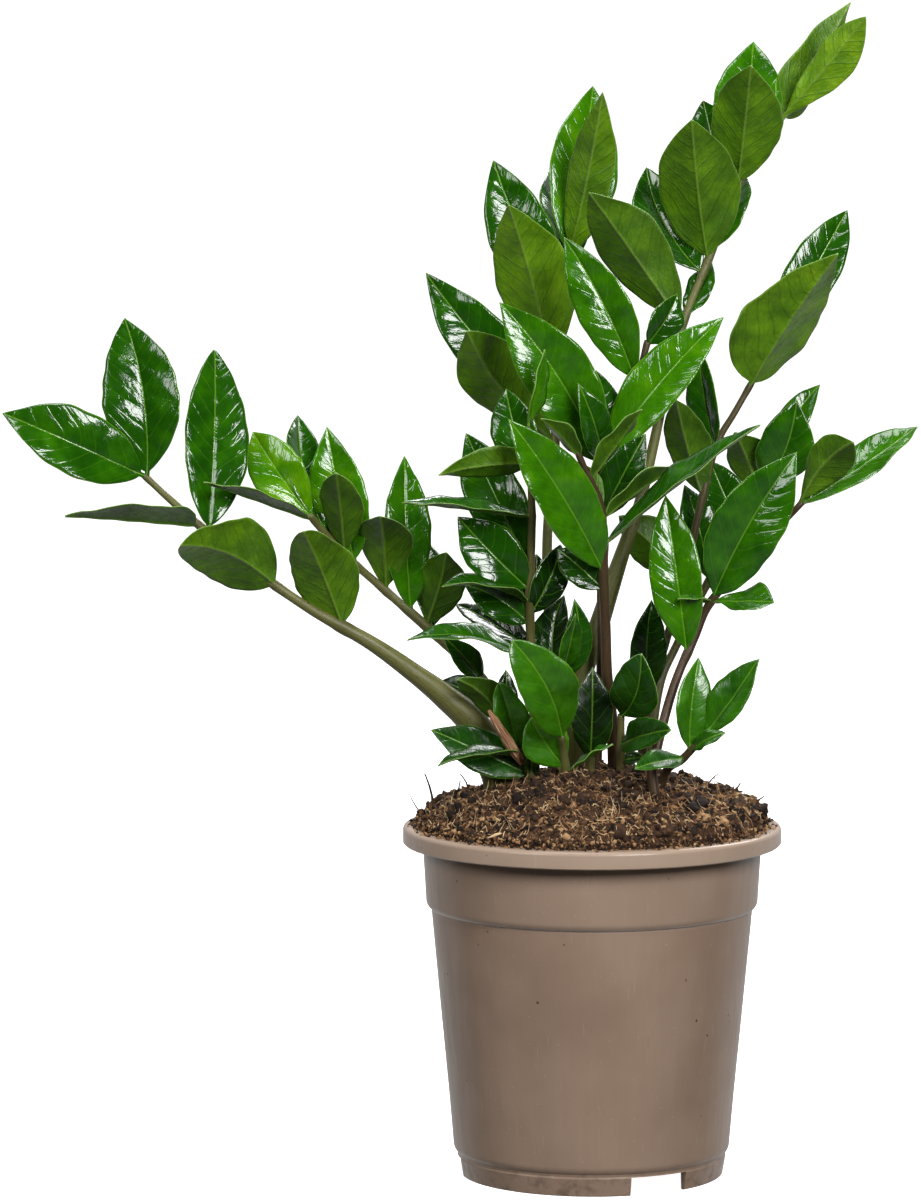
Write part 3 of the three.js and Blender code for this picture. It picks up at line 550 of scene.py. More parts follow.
def leaf_surface(item, length, rng):
    """The grid of a leaflet: how far along, across and up its faces lie in mm, and what paints them."""
    half_wide = item["wide"] / 2
    rows = max(FEWEST_ROWS, int(length / LEAF_CELL))
    columns = 2 * max(FEWEST_COLUMNS // 2, int(half_wide / LEAF_CELL) + 1)
    t, u = np.meshgrid(np.linspace(0, 1, rows + 1), np.linspace(-1, 1, columns + 1), indexing="ij")
    edge = u * (0.55 + 0.45 * u * u)
    uneven = 1 + 0.03 * ripple(rng, t, 1, 2, np.where(u > 0, 2, 0))
    uneven += 0.014 * ripple(rng, t, 4, 7, np.where(u > 0, 1, 0))
    half = half_wide * outline(t, item["peak"], item["blunt"]) * uneven
    half = np.maximum(half, np.where(t < 0.5, STALK_HALF_WIDTH, TIP_HALF_WIDTH))
    x = edge * half
    s = t * length
    size = np.abs(edge)

    bow = 4 * t * (1 - t)
    rise = item["arch"] * bow + half * math.sin(LEAF_FOLD) * (1.35 * size - 0.35 * size ** 3)

    # The side veins, and the blade that is quilted between them.
    spacing = VEIN_SPACING * (0.75 + 0.25 * item["wide"] / 30) * rng.uniform(0.9, 1.1)
    jitter = 0.3 * np.sin(0.11 * s + rng.uniform(0, 6))
    jitter = jitter + 0.06 * np.sin(0.3 * x + 0.2 * s + rng.uniform(0, 6))
    lean = 0.75 * np.abs(x) + 0.022 * x * x
    phase = (s - lean) / spacing + 0.25 * np.tanh(x / 1.5) + jitter
    inside = smooth_step(0.06, 0.22, size) * (1 - size ** 5)
    ends = smooth_step(0.05, 0.16, t) * (1 - smooth_step(0.86, 0.98, t))
    pillow = np.abs(np.sin(math.pi * phase)) ** 0.4 - 0.8
    quilt = min(QUILT_MOST, QUILT * item["wide"]) * pillow * inside * ends
    winding = 2 * math.pi * np.abs(x) / CROSS_SPACING + 2 * np.sin(2 * math.pi * phase)
    crossing = np.sin(winding + rng.uniform(0, 6))
    quilt += 0.05 * crossing * inside * ends

    # Broad unevenness, the tip that nods and the waved edge.
    broad = 0.5 * np.sin(2 * math.pi * s / rng.uniform(22, 36) + rng.uniform(0, 6)) * size
    slanting = s / rng.uniform(11, 17) + x / rng.uniform(14, 30)
    broad += 0.12 * np.sin(2 * math.pi * slanting + rng.uniform(0, 6))
    broad = broad * ends - rng.uniform(*TIP_NOD) * t ** 4
    wave = ripple(rng, t, 1.4, 2.6, np.where(u > 0, 1.7, 0))
    wave = rng.uniform(*EDGE_WAVE) * wave * size ** 3 * ends

    thick = BLADE_EDGE + (BLADE - BLADE_EDGE) * (1 - size ** 3)
    thick = thick + STALK_THICKER * (1 - smooth_step(0.02, 0.12, t))
    rib = np.exp(-(x / RIB_HALF_WIDTH) ** 2) * (1 - 0.75 * t) * smooth_step(0.02, 0.1, t)
    mean = rise + broad + wave
    top = mean + thick / 2 + quilt - 0.5 * rib
    under = mean - thick / 2 + 0.65 * quilt - 0.75 * rib
    return {"s": s, "x": x, "top": top, "under": under, "bow": bow, "phase": phase, "edge": edge}


TOP, UNDER, EDGE = range(3)  # the numbers of a leaflet's materials


def grid_faces(rows, columns):
    """Faces of the upper and lower grid and of the rim between them, and their material numbers."""
    width = columns + 1
    lower = (rows + 1) * width
    faces, numbers = [], []
    for i in range(rows):
        for j in range(columns):
            a = i * width + j
            corners = (a, a + 1, a + width + 1, a + width)
            faces.append(corners)
            faces.append(tuple(lower + k for k in reversed(corners)))
            numbers += [TOP, UNDER]
    for i in range(rows):
        a, b = i * width + columns, (i + 1) * width + columns
        faces.append((a, lower + a, lower + b, b))
        a, b = i * width, (i + 1) * width
        faces.append((b, lower + b, lower + a, a))
        numbers += [EDGE, EDGE]
    last = rows * width
    for j in range(columns):
        faces.append((last + j, last + j + 1, lower + last + j + 1, lower + last + j))
        faces.append((lower + j, lower + j + 1, j + 1, j))
        numbers += [EDGE, EDGE]
    return faces, numbers


def add_leaf(parts, item, points, rng):
    """Adds a leaflet. Its bend is the other way round where it is seen from below."""
    root, length, along, normal, side = leaf_frame(item, points)
    grid = leaf_surface(item, length, rng)
    rows, columns = (count - 1 for count in grid["s"].shape)
    bend = -item["bend"] if abs(item["turn"]) > 90 else item["bend"]
    sideways = bend * grid["bow"] + grid["x"] * math.cos(LEAF_FOLD)
    flat = root + grid["s"][..., None] * along + sideways[..., None] * side
    faces_at = [(flat + grid[face][..., None] * normal).reshape(-1, 3) for face in ("top", "under")]
    faces, numbers = grid_faces(rows, columns)
    both = {key: np.tile(grid[key].ravel(), 2) for key in ("s", "x", "phase", "edge")}
    height = (item["base"][1] + item["tip"][1]) / 2
    # Painted shade: the lower a leaflet, the darker its tone, for the shade among the inner leaves.
    low = 1 - float(smooth_step(*PAINTED_SHADE_BELOW, height))
    dull = 1 - float(smooth_step(*DULLER_BELOW, height))
    parts.add(np.concatenate(faces_at), faces, numbers, along=both["s"], across=both["x"],
              phase=both["phase"], edge=both["edge"], tone=item["tone"] - 0.14 * low, dull=dull,
              part=rng.uniform(0, 100))


def leaflets_piece(frond, materials, rng):
    points = stem_points(frond)
    parts = Parts()
    for item in frond["leaves"]:
        add_leaf(parts, item, points, rng)
    return parts.make(frond["name"] + "_leaflets", frond["name"], materials)


# ---- The pot ----
def arc(r, z, radius, start, end, steps):
    angles = np.radians(np.linspace(start, end, steps + 1))
    return [(r + radius * math.cos(angle), z + radius * math.sin(angle)) for angle in angles]


def pot_profile():
    """Radii and heights of the pot's wall: up the outside, over the rim and down the inside."""
    top = RIM_TOP - RIM_ROUND
    return [
        (FOOT_TOP_R - 2 * WALL, FLOOR_TOP - WALL), (FOOT_R - WALL, 0.25), (FOOT_R - WALL + CHAMFER, 0),
        (FOOT_R - CHAMFER, 0), (FOOT_R, CHAMFER), (FOOT_TOP_R - 0.1, FOOT_TOP - CHAMFER),
        (FOOT_TOP_R - CHAMFER, FOOT_TOP), (FOOT_TOP_R - 2 * CHAMFER, FOOT_TOP + 0.5),
        *arc(BODY_FOOT_R - BODY_ROUND, BODY_FOOT - 1, BODY_ROUND, -50, 0, 8),
        (BODY_FOOT_R + 2, BODY_FOOT + 22), (BODY_TOP_R - 3, COLLAR_FOOT - 33),
        (BODY_TOP_R, COLLAR_FOOT - 1),
        *arc(COLLAR_FOOT_R - COLLAR_ROUND, COLLAR_FOOT + COLLAR_ROUND, COLLAR_ROUND, -70, 0, 8),
        (COLLAR_TOP_R, RIM_BOTTOM), (COLLAR_TOP_R, RIM_TOP - RIM_THICKNESS),
        (RIM_R - WALL, RIM_TOP - RIM_THICKNESS), (RIM_R - WALL, RIM_BOTTOM + CHAMFER),
        (RIM_R - WALL + CHAMFER, RIM_BOTTOM), (RIM_R - 0.5, RIM_BOTTOM), (RIM_R, RIM_BOTTOM + 0.5),
        *arc(RIM_R - RIM_ROUND, top, RIM_ROUND, 0, 90, 8),
        (COLLAR_TOP_R - WALL + 1, RIM_TOP), (COLLAR_TOP_R - WALL, RIM_TOP - 1),
        *reversed(inner_profile(0)),
    ]


def inner_profile(clearance):
    """The inside of the pot, listed upwards, or the outside of the peat, which stays clear of it."""
    inset = WALL + clearance
    return [
        (BODY_FOOT_R - inset - 3, FLOOR_TOP + clearance),
        (BODY_FOOT_R - inset, FLOOR_TOP + 4),
        (BODY_TOP_R - inset, COLLAR_FOOT - 1),
        (COLLAR_FOOT_R - inset, COLLAR_FOOT + COLLAR_ROUND),
        (COLLAR_TOP_R - inset, RIM_BOTTOM),
    ]


def lathe(profile, low, high, sides):
    """Turns a profile about the pot's axis. It is closed to points on the axis, at low and at high."""
    angles = ring_angles(sides)
    radii, heights = np.array(profile).T
    rings = np.stack([radii[:, None] * np.cos(angles), radii[:, None] * np.sin(angles),
                      np.repeat(heights[:, None], sides, axis=1)], axis=-1)
    vertices = np.concatenate([rings.reshape(-1, 3), [(0, 0, low), (0, 0, high)]])
    return vertices, ring_faces(len(profile), sides)


def add_notch(bm, angle):
    """A wedge that cuts the foot ring."""
    half = math.tan(math.radians(NOTCH_SPREAD / 2))
    near, far = 0.8 * FOOT_R, 1.2 * FOOT_R
    turn = Euler((0, 0, math.pi + math.radians(angle))).to_matrix()
    corners = [(-near * half, near), (near * half, near), (far * half, far), (-far * half, far)]
    rings = [[bm.verts.new((turn @ Vector((x, y, z)) + Vector(POT_AXIS)) * MM) for x, y in corners]
             for z in (-2, FOOT_TOP)]
    bm.faces.new(reversed(rings[0]))
    bm.faces.new(rings[1])
    for i in range(4):
        k = (i + 1) % 4
        bm.faces.new((rings[0][i], rings[0][k], rings[1][k], rings[1][i]))


def add_drill(bm, angle):
    """A cylinder that cuts the floor."""
    middle = POT_AXIS + (DRAIN_RING_R * math.cos(angle), DRAIN_RING_R * math.sin(angle), FLOOR_TOP)
    made = bmesh.ops.create_cone(bm, cap_ends=True, segments=32, radius1=DRAIN_R * MM,
                                 radius2=DRAIN_R * MM, depth=2 * FLOOR_TOP * MM)
    bmesh.ops.translate(bm, verts=made["verts"], vec=Vector(middle) * MM)


def pot_cutter():
    """The three wedges and six cylinders in one object."""
    bm = bmesh.new()
    for angle in NOTCH_ANGLES:
        add_notch(bm, angle)
    for i in range(DRAINS):
        add_drill(bm, 2 * math.pi * (i + 0.5) / DRAINS)
    mesh = bpy.data.meshes.new("pot_cutter")
    bm.to_mesh(mesh)
    bm.free()
    tool = bpy.data.objects.new("pot_cutter", mesh)
    bpy.context.scene.collection.objects.link(tool)
    return tool


def pot_piece(material):
    vertices, faces = lathe(pot_profile(), FLOOR_TOP - WALL, FLOOR_TOP, POT_SIDES)
    pot = add_piece("pot_moulding", "pot", vertices, faces, [material])
    tool = pot_cutter()
    cut = pot.modifiers.new("cut", "BOOLEAN")
    cut.object = tool
    cut.operation = "DIFFERENCE"
    cut.solver = "EXACT"
    shape = bpy.data.meshes.new_from_object(pot.evaluated_get(bpy.context.evaluated_depsgraph_get()))
    pot.modifiers.clear()
    pot.data = shape
    shape.set_sharp_from_angle(angle=SHARP)
    bpy.data.objects.remove(tool)
    return pot


# ---- The peat ----
LIP_CRUMBS = 2600
STREWN = 0.22                # share of the lip's crumbs that lie on the rim
FIBRES = 3400
SHORT_FIBRE = (1.5, 5)       # least and greatest length
LONG_FIBRE = (5, 13)
LONG_FIBRES = 0.1            # their share
STANDING = 0.2               # share of the fibres that stand up


def lumps(x, y):
    """The heap's broad unevenness in mm."""
    broad = 0.9 * np.sin(0.21 * x + 1) * np.cos(0.17 * y)
    return 0.02 * x + broad + 0.6 * np.sin(0.43 * x - 0.37 * y + 2)


def heap_height(x, y):
    """Height of the peat's surface in mm, without its grain."""
    radii = [0, 22, 42, 60, 73, SOIL_LIP_R - 1, SOIL_LIP_R]
    heights = [SOIL_PEAK, *(z for _, z in reversed(HEAP)), RIM_TOP + GAP + 3, RIM_TOP + GAP]
    height = np.interp(np.hypot(x, y), radii, heights)
    return height + np.where(height > RIM_TOP + 4, lumps(x, y), 0)


def grain(x, y):
    """The fine unevenness and pits of the peat in mm, which fade out towards its edge."""
    coarse = noise.fractal(Vector((x * 0.13, y * 0.13, 3.7)), 0.7, 2.1, 5)
    pits = noise.voronoi(Vector((x * 0.2, y * 0.2, 9.1)))[0][0]
    inner = min(1.0, max(0.0, (SOIL_LIP_R - math.hypot(x, y)) / 4))
    return (1.7 * coarse - 1.6 * max(0.0, 0.35 - pits)) * inner


def soil_piece(material):
    """The peat: from the pot's floor up to its rim a plain form, and above it the rough heap."""
    angles = ring_angles(HEAP_SIDES)
    radii = SOIL_LIP_R * (np.arange(HEAP_RINGS, 0, -1) / HEAP_RINGS) ** 0.9
    x, y = radii[:, None] * np.cos(angles), radii[:, None] * np.sin(angles)
    z = heap_height(x, y)
    rough = np.array([[grain(*point) for point in zip(*row)] for row in zip(x, y)])
    surface = np.stack([x, y, z + rough], axis=-1).reshape(-1, 3)
    skirt = [*inner_profile(GAP), (COLLAR_TOP_R - WALL - GAP, RIM_TOP + GAP)]
    sides, _ = lathe(skirt, 0, 0, HEAP_SIDES)
    vertices = np.concatenate([sides[:-2], surface, [(0, 0, FLOOR_TOP + GAP), (0, 0, SOIL_PEAK)]])
    faces = ring_faces(len(skirt) + HEAP_RINGS, HEAP_SIDES)
    return add_piece("soil_heap", "soil", vertices, faces, [material],
                     attributes={"tone": np.full(len(vertices), 0.3)})


def ball(subdivisions):
    bm = bmesh.new()
    bmesh.ops.create_icosphere(bm, subdivisions=subdivisions, radius=1)
    vertices = np.array([list(vertex.co) for vertex in bm.verts])
    faces = [[vertex.index for vertex in face.verts] for face in bm.faces]
    bm.free()
    return vertices, faces


def place_on_heap(rng, reach):
    """A random place on the peat, a little more often towards its edge."""
    radius = reach * rng.uniform(0, 1) ** 0.42
    angle = rng.uniform(0, 2 * math.pi)
    x, y = radius * math.cos(angle), radius * math.sin(angle)
    return np.array([x, y, float(heap_height(x, y))])


def turned(rng):
    return np.array(Euler(rng.uniform(0, 2 * math.pi, 3)).to_matrix())


# Least and greatest share of a crumb's size along its three axes.
SHREDDED = ((0.25, 0.4, 0.6), (0.7, 1.2, 1.9))
LUMPY = ((0.4, 0.5, 0.6), (0.9, 1.1, 1.4))
SPLINTERED = ((0.12, 0.2, 1.0), (0.3, 0.55, 2.6))
ROUND = (0.4, 1.3)


def crumb(rng, vertices, size, shapes):
    """A dented ball, stretched or flattened."""
    dents = rng.uniform(0.5, 1.4, (len(vertices), 1))
    return vertices * dents * size * rng.uniform(*shapes, 3)


def crumbs_piece(name, material, rng, count, small, large, shapes, palest):
    """Crumbs of peat of all sizes from small to large, sunk a little into the heap. Those in its middle
    are painted darker, a painted shade under the leaves."""
    parts = Parts()
    coarse, fine = ball(1), ball(2)
    for _ in range(count):
        size = small + (large - small) * rng.uniform(0, 1) ** 3
        vertices, faces = fine if size > 1.2 else coarse
        shape = crumb(rng, vertices, size, shapes)
        place = place_on_heap(rng, SOIL_LIP_R + 0.6 - 0.3 * size)
        place[2] += 0.3 * size + grain(place[0], place[1])
        # Painted shade: crumbs darken towards the heap's middle, under the leaves.
        tone = palest * rng.uniform(0, 1) ** 1.4 * (0.35 + 0.65 * math.hypot(*place[:2]) / SOIL_LIP_R)
        parts.add(shape @ turned(rng).T + place, faces, tone=tone)
    return parts.make(name, "", [material])


def lip_piece(material, rng):
    """Fine crumbs round the heap's edge: on its steep last step, and strewn on the pot's rim."""
    parts = Parts()
    vertices, faces = ball(1)
    for _ in range(LIP_CRUMBS):
        size = rng.uniform(0.3, 1.1)
        shape = crumb(rng, vertices, size, ROUND)
        angle = rng.uniform(0, 2 * math.pi)
        strewn = rng.uniform() < STREWN
        radius = SOIL_LIP_R + (4.2 * rng.uniform() ** 2 + 0.3 if strewn else rng.uniform(-1.2, 0.3))
        height = RIM_TOP + 0.35 * size + (0 if strewn else rng.uniform(0, 3.4))
        place = (radius * math.cos(angle), radius * math.sin(angle), height)
        parts.add(shape @ turned(rng).T + place, faces, tone=rng.uniform(0, 1) ** 1.4)
    return parts.make("soil_lip", "", [material])


def fibre(rng, place, length, radius, lift, flatten):
    """A curling thread of root or moss that starts on the heap and rises by lift."""
    steps = 5
    heading = rng.uniform(0, 2 * math.pi)
    curl = rng.uniform(-0.5, 0.5)
    line = [place]
    for i in range(steps):
        heading += curl + rng.uniform(-0.25, 0.25)
        point = line[-1] + np.array([math.cos(heading), math.sin(heading), 0]) * length / steps
        ground = float(heap_height(point[0], point[1])) + grain(point[0], point[1])
        point[2] = ground + 0.6 + lift * ((i + 1) / steps) ** 1.5
        line.append(point)
    line = np.array(line)
    line[:, 2] += rng.uniform(-0.3, 0.3, len(line))
    taper = radius * (1 - 0.6 * np.linspace(0, 1, len(line))[:, None] ** 2)
    return tube(line, taper, 4, flatten)


def fibres_piece(material, rng):
    """Pale threads and shreds of bark in the peat, some of which stand up from it and are finer."""
    parts = Parts()
    for _ in range(FIBRES):
        length = rng.uniform(*(SHORT_FIBRE if rng.uniform() < 1 - LONG_FIBRES else LONG_FIBRE))
        place = place_on_heap(rng, SOIL_LIP_R - 0.3 * length)
        place[2] += grain(place[0], place[1]) + 0.4
        lift = rng.uniform(0.5, 6) if rng.uniform() < STANDING else 0
        radius = rng.uniform(0.12, 0.36) if lift == 0 else rng.uniform(0.1, 0.22)
        vertices, faces, _ = fibre(rng, place, length, radius, lift, rng.uniform(0.3, 1))
        parts.add(vertices, faces, tone=rng.uniform(0, 1))
    return parts.make("soil_fibres", "", [material])


TWIGS = [                    # foot and tip as seen from the front, how far back the foot is, and radius
    ((-72, 166), (-76, 184), -8, 0.84), ((-66, 170), (-60, 181), 0, 0.56),
    ((-56, 172), (-60, 184), 14, 0.63), ((-46, 172), (-42, 184), 10, 0.56),
    ((52, 171), (57, 184), 8, 0.56), ((62, 168), (67, 180), 2, 0.63),
    ((-18, 160), (-12, 169), -50, 0.63), ((24, 163), (33, 171), -46, 0.56),
    ((47, 163), (41, 172), -40, 0.56), ((-76, 166), (-83, 175), 2, 0.49),
    ((36, 174), (31, 186), 16, 0.56), ((72, 166), (78, 174), 0, 0.56),
]


def twigs_piece(material, rng):
    """Twigs that stand up from the peat, each bowed and thinner towards its tip."""
    parts = Parts()
    for foot, tip, back, radius in TWIGS:
        low, high = seen(*foot, back), seen(*tip, back + rng.uniform(-3, 3))
        low[2] = float(heap_height(low[0], low[1])) - 1
        bow = np.array([rng.uniform(-1.5, 1.5), rng.uniform(-1, 1), 0])
        shares = np.linspace(0, 1, 7)[:, None]
        line = low + (high - low) * shares + bow * shares * (1 - shares) * 4
        vertices, faces, _ = tube(line, radius * (1 - 0.6 * shares), 6)
        parts.add(vertices, faces, tone=rng.uniform(0, 0.4))
    return parts.make("soil_twigs", "", [material])


# ---- Materials ----
def linear(red, green, blue):
    """A screen colour, 0 to 255, as the linear colour that nodes take."""
    return (*(((c / 255 + 0.055) / 1.055) ** 2.4 for c in (red, green, blue)), 1)


class Paint:
    """A material and short names for the nodes that it is built from."""

    def __init__(self, name, **constants):
        self.material = bpy.data.materials.new(name)
        self.material.use_nodes = True
        self.tree = self.material.node_tree
        self.shader = self.tree.nodes["Principled BSDF"]
        for socket, value in constants.items():
            self.shader.inputs[socket.replace("_", " ")].default_value = value

    def node(self, kind, **inputs):
        made = self.tree.nodes.new("ShaderNode" + kind)
        for key, value in inputs.items():
            self.feed(made.inputs[key.replace("_", " ")], value)
        return made

    def feed(self, socket, value):
        if isinstance(value, bpy.types.NodeSocket):
            self.tree.links.new(value, socket)
        else:
            socket.default_value = value

    def attribute(self, name):
        made = self.node("Attribute")
        made.attribute_name = name
        return made.outputs["Fac"]

    def math(self, operation, first, second=0.0):
        made = self.node("Math")
        made.operation = operation
        self.feed(made.inputs[0], first)
        self.feed(made.inputs[1], second)
        return made.outputs[0]

    def plus(self, first, second):
        return self.math("ADD", first, second)

    def times(self, first, second):
        return self.math("MULTIPLY", first, second)

    def vector(self, x=0.0, y=0.0, z=0.0):
        return self.node("CombineXYZ", X=x, Y=y, Z=z).outputs[0]

    def place(self, scale=(1, 1, 1)):
        """The place on the object in mm, times scale."""
        made = self.node("Mapping", Vector=self.node("TexCoord").outputs["Object"])
        made.inputs["Scale"].default_value = [share / MM for share in scale]
        return made.outputs[0]

    def noise(self, vector, scale, detail=3.0, roughness=0.55):
        made = self.node("TexNoise", Vector=vector, Scale=scale, Detail=detail, Roughness=roughness)
        return made.outputs["Fac"]

    def cells(self, vector, scale, feature="DISTANCE_TO_EDGE"):
        made = self.node("TexVoronoi")
        made.feature = feature
        self.feed(made.inputs["Vector"], vector)
        made.inputs["Scale"].default_value = scale
        return made.outputs["Distance"]

    def dots(self, vector, scale, inner, outer):
        """1 in scattered round dots and 0 between them."""
        return self.between(self.cells(vector, scale, "F1"), inner, outer, 1.0, 0.0)

    def between(self, value, low, high, start=0.0, end=1.0):
        """value, taken from low..high to start..end, smoothly and without going beyond."""
        made = self.node("MapRange")
        made.interpolation_type = "SMOOTHSTEP"
        for socket, number in zip(made.inputs, (value, low, high, start, end)):
            self.feed(socket, number)
        return made.outputs[0]

    def mix(self, share, first, second):
        made = self.node("Mix")
        made.data_type = "RGBA"
        self.feed(made.inputs[0], share)
        self.feed(made.inputs[6], first)
        self.feed(made.inputs[7], second)
        return made.outputs[2]

    def layers(self, base, *layers):
        """base with colours laid over it, each by its mask and its strength."""
        for mask, strength, color in layers:
            base = self.mix(self.times(mask, strength), base, color)
        return base

    def ramp(self, share, *stops):
        made = self.node("ValToRGB", Fac=share)
        elements = made.color_ramp.elements
        while len(elements) < len(stops):
            elements.new(1)
        for element, (position, color) in zip(elements, stops):
            element.position = position
            element.color = color
        return made.outputs["Color"]

    def bump(self, height, distance):
        """Relief in the surface: distance is that of a height of 1, in mm."""
        made = self.node("Bump", Height=height, Distance=distance * MM)
        self.tree.links.new(made.outputs[0], self.shader.inputs["Normal"])

    def color(self, value):
        self.feed(self.shader.inputs["Base Color"], value)

    def roughness(self, value):
        self.feed(self.shader.inputs["Roughness"], value)


def leaf_coordinates(paint):
    """Leaf coordinates in mm: across and along, and a number of its own for each leaflet."""
    return paint.vector(paint.attribute("across"), paint.attribute("along"), paint.attribute("part"))


def size_of(paint, name):
    """An attribute without its sign."""
    return paint.math("ABSOLUTE", paint.attribute(name))


def vein_mesh(paint, width):
    """1 on the net of small veins between the side veins, and 0 in its meshes."""
    between = paint.times(paint.attribute("phase"), VEIN_SPACING)
    bent = paint.times(paint.plus(paint.noise(leaf_coordinates(paint), 0.3, 2.0), -0.5), 4)
    across = paint.plus(paint.attribute("across"), bent)
    place = paint.vector(across, between, paint.attribute("part"))
    return paint.between(paint.cells(place, 0.3), 0.0, width, 1.0, 0.0)


def vein_lines(paint, width):
    """1 on a side vein and 0 between them."""
    phase = paint.math("FRACT", paint.attribute("phase"))
    return paint.between(paint.math("ABSOLUTE", paint.plus(phase, -0.5)), 0.5 - width, 0.5)


def leaf_marks(paint, vein_width, rib_reach, rim_start):
    """Masks of the side veins, of the net between them, of the rib and of the rim."""
    return (vein_lines(paint, vein_width), vein_mesh(paint, 0.2),
            paint.between(size_of(paint, "across"), *rib_reach),
            paint.between(size_of(paint, "edge"), rim_start, 1.0))


def greens(paint, cloud, spread, *stops):
    """The green of each leaflet's tone, made cloudy."""
    shade = paint.plus(paint.attribute("tone"), paint.times(paint.plus(cloud, -0.5), spread))
    return paint.ramp(shade, *stops)


def leaf_top_material():
    """Waxy green, lighter along its side veins, rib and rim. Low leaflets are duller."""
    paint = Paint("leaf_top", Specular_IOR_Level=0.6)
    place = leaf_coordinates(paint)
    green = greens(paint, paint.noise(place, 0.09, 2.0), 0.5, (0.0, linear(8, 30, 0)),
                   (0.35, linear(28, 80, 0)), (0.6, linear(58, 120, 0)), (0.95, linear(118, 170, 6)))
    veins, fine, rib, rim = leaf_marks(paint, 0.07, (0.55, 0.15), 0.955)
    paint.color(paint.layers(green, (veins, 0.2, linear(84, 142, 14)), (fine, 0.15, linear(22, 62, 0)),
                             (rib, 0.4, linear(122, 172, 50)), (rim, 0.6, linear(120, 165, 60))))
    wax = paint.between(paint.noise(place, 0.35, 2.0), 0.3, 0.7, 0.09, 0.17)
    paint.roughness(paint.plus(wax, paint.times(paint.attribute("dull"), 0.15)))
    relief = paint.plus(paint.times(fine, -0.5), paint.times(veins, -0.9))
    relief = paint.plus(relief, paint.times(paint.noise(place, 0.25, 2.0), 0.6))
    paint.bump(relief, 0.06)
    return paint.material


def leaf_under_material():
    """Paler green than the upper face's and less glossy, with darker veins and a pale rib and rim."""
    paint = Paint("leaf_under", Specular_IOR_Level=0.4)
    place = leaf_coordinates(paint)
    green = greens(paint, paint.noise(place, 0.07, 4.0), 1.0, (0.0, linear(36, 62, 0)),
                   (0.4, linear(68, 108, 0)), (0.7, linear(100, 144, 4)), (1.0, linear(140, 178, 16)))
    veins, fine, rib, rim = leaf_marks(paint, 0.1, (0.9, 0.3), 0.96)
    paint.color(paint.layers(green, (veins, 0.28, linear(34, 66, 0)), (fine, 0.18, linear(36, 72, 0)),
                             (rib, 0.5, linear(118, 152, 52)), (rim, 0.5, linear(140, 170, 90))))
    rough = paint.noise(place, 0.5, 3.0)
    paint.roughness(paint.between(rough, 0.3, 0.7, 0.38, 0.52))
    relief = paint.plus(paint.times(fine, 0.4), paint.times(veins, 0.6))
    paint.bump(paint.plus(relief, rough), 0.18)
    return paint.material


def leaf_edge_material():
    """The pale rim between the two faces."""
    paint = Paint("leaf_edge", Specular_IOR_Level=0.5)
    place = leaf_coordinates(paint)
    paint.color(paint.mix(paint.noise(place, 0.2, 2.0), linear(96, 140, 50), linear(140, 172, 84)))
    paint.roughness(paint.between(paint.noise(place, 0.6), 0.3, 0.7, 0.35, 0.5))
    return paint.material


def stem_material():
    """Green to brown, streaked along the stem, with dark dots and patches, and darker at the joints."""
    paint = Paint("stem_skin", Specular_IOR_Level=0.35)
    place = paint.place()
    around = paint.times(paint.attribute("angle"), 4.0)
    along = paint.attribute("along")
    streaks = paint.noise(paint.vector(around, paint.times(along, 0.05)), 1.6, 5.0)
    green = paint.mix(streaks, linear(74, 80, 36), linear(134, 136, 76))
    brown = paint.mix(streaks, linear(38, 25, 16), linear(88, 66, 44))
    skin = paint.mix(paint.between(paint.attribute("brown"), 0.0, 1.0), green, brown)
    dots = paint.dots(place, 0.5, 0.1, 0.22)
    spotted = paint.times(dots, paint.between(paint.noise(place, 0.12, 2.0), 0.5, 0.66))
    marks = paint.noise(paint.vector(around, paint.times(along, 0.16)), 2.4, 3.0)
    marks = paint.between(marks, 0.6, 0.68)
    paint.color(paint.layers(skin, (spotted, 0.75, linear(34, 26, 16)), (marks, 0.6, linear(40, 32, 18)),
                             (paint.attribute("joint"), 0.4, linear(66, 60, 30))))
    paint.roughness(paint.between(streaks, 0.3, 0.7, 0.34, 0.5))
    paint.bump(paint.plus(streaks, paint.times(dots, 0.4)), 0.15)
    return paint.material


def sheath_material():
    """Dry papery brown, streaked along its length."""
    paint = Paint("dry_sheath", Specular_IOR_Level=0.25)
    across = paint.times(paint.attribute("across"), 3.0)
    streaks = paint.noise(paint.vector(across, paint.attribute("along")), 2.2, 4.0)
    paint.color(paint.ramp(streaks, (0.38, linear(92, 56, 38)), (0.5, linear(172, 122, 90)),
                           (0.62, linear(226, 186, 150))))
    paint.roughness(paint.between(streaks, 0.3, 0.7, 0.55, 0.8))
    paint.bump(streaks, 0.3)
    return paint.material


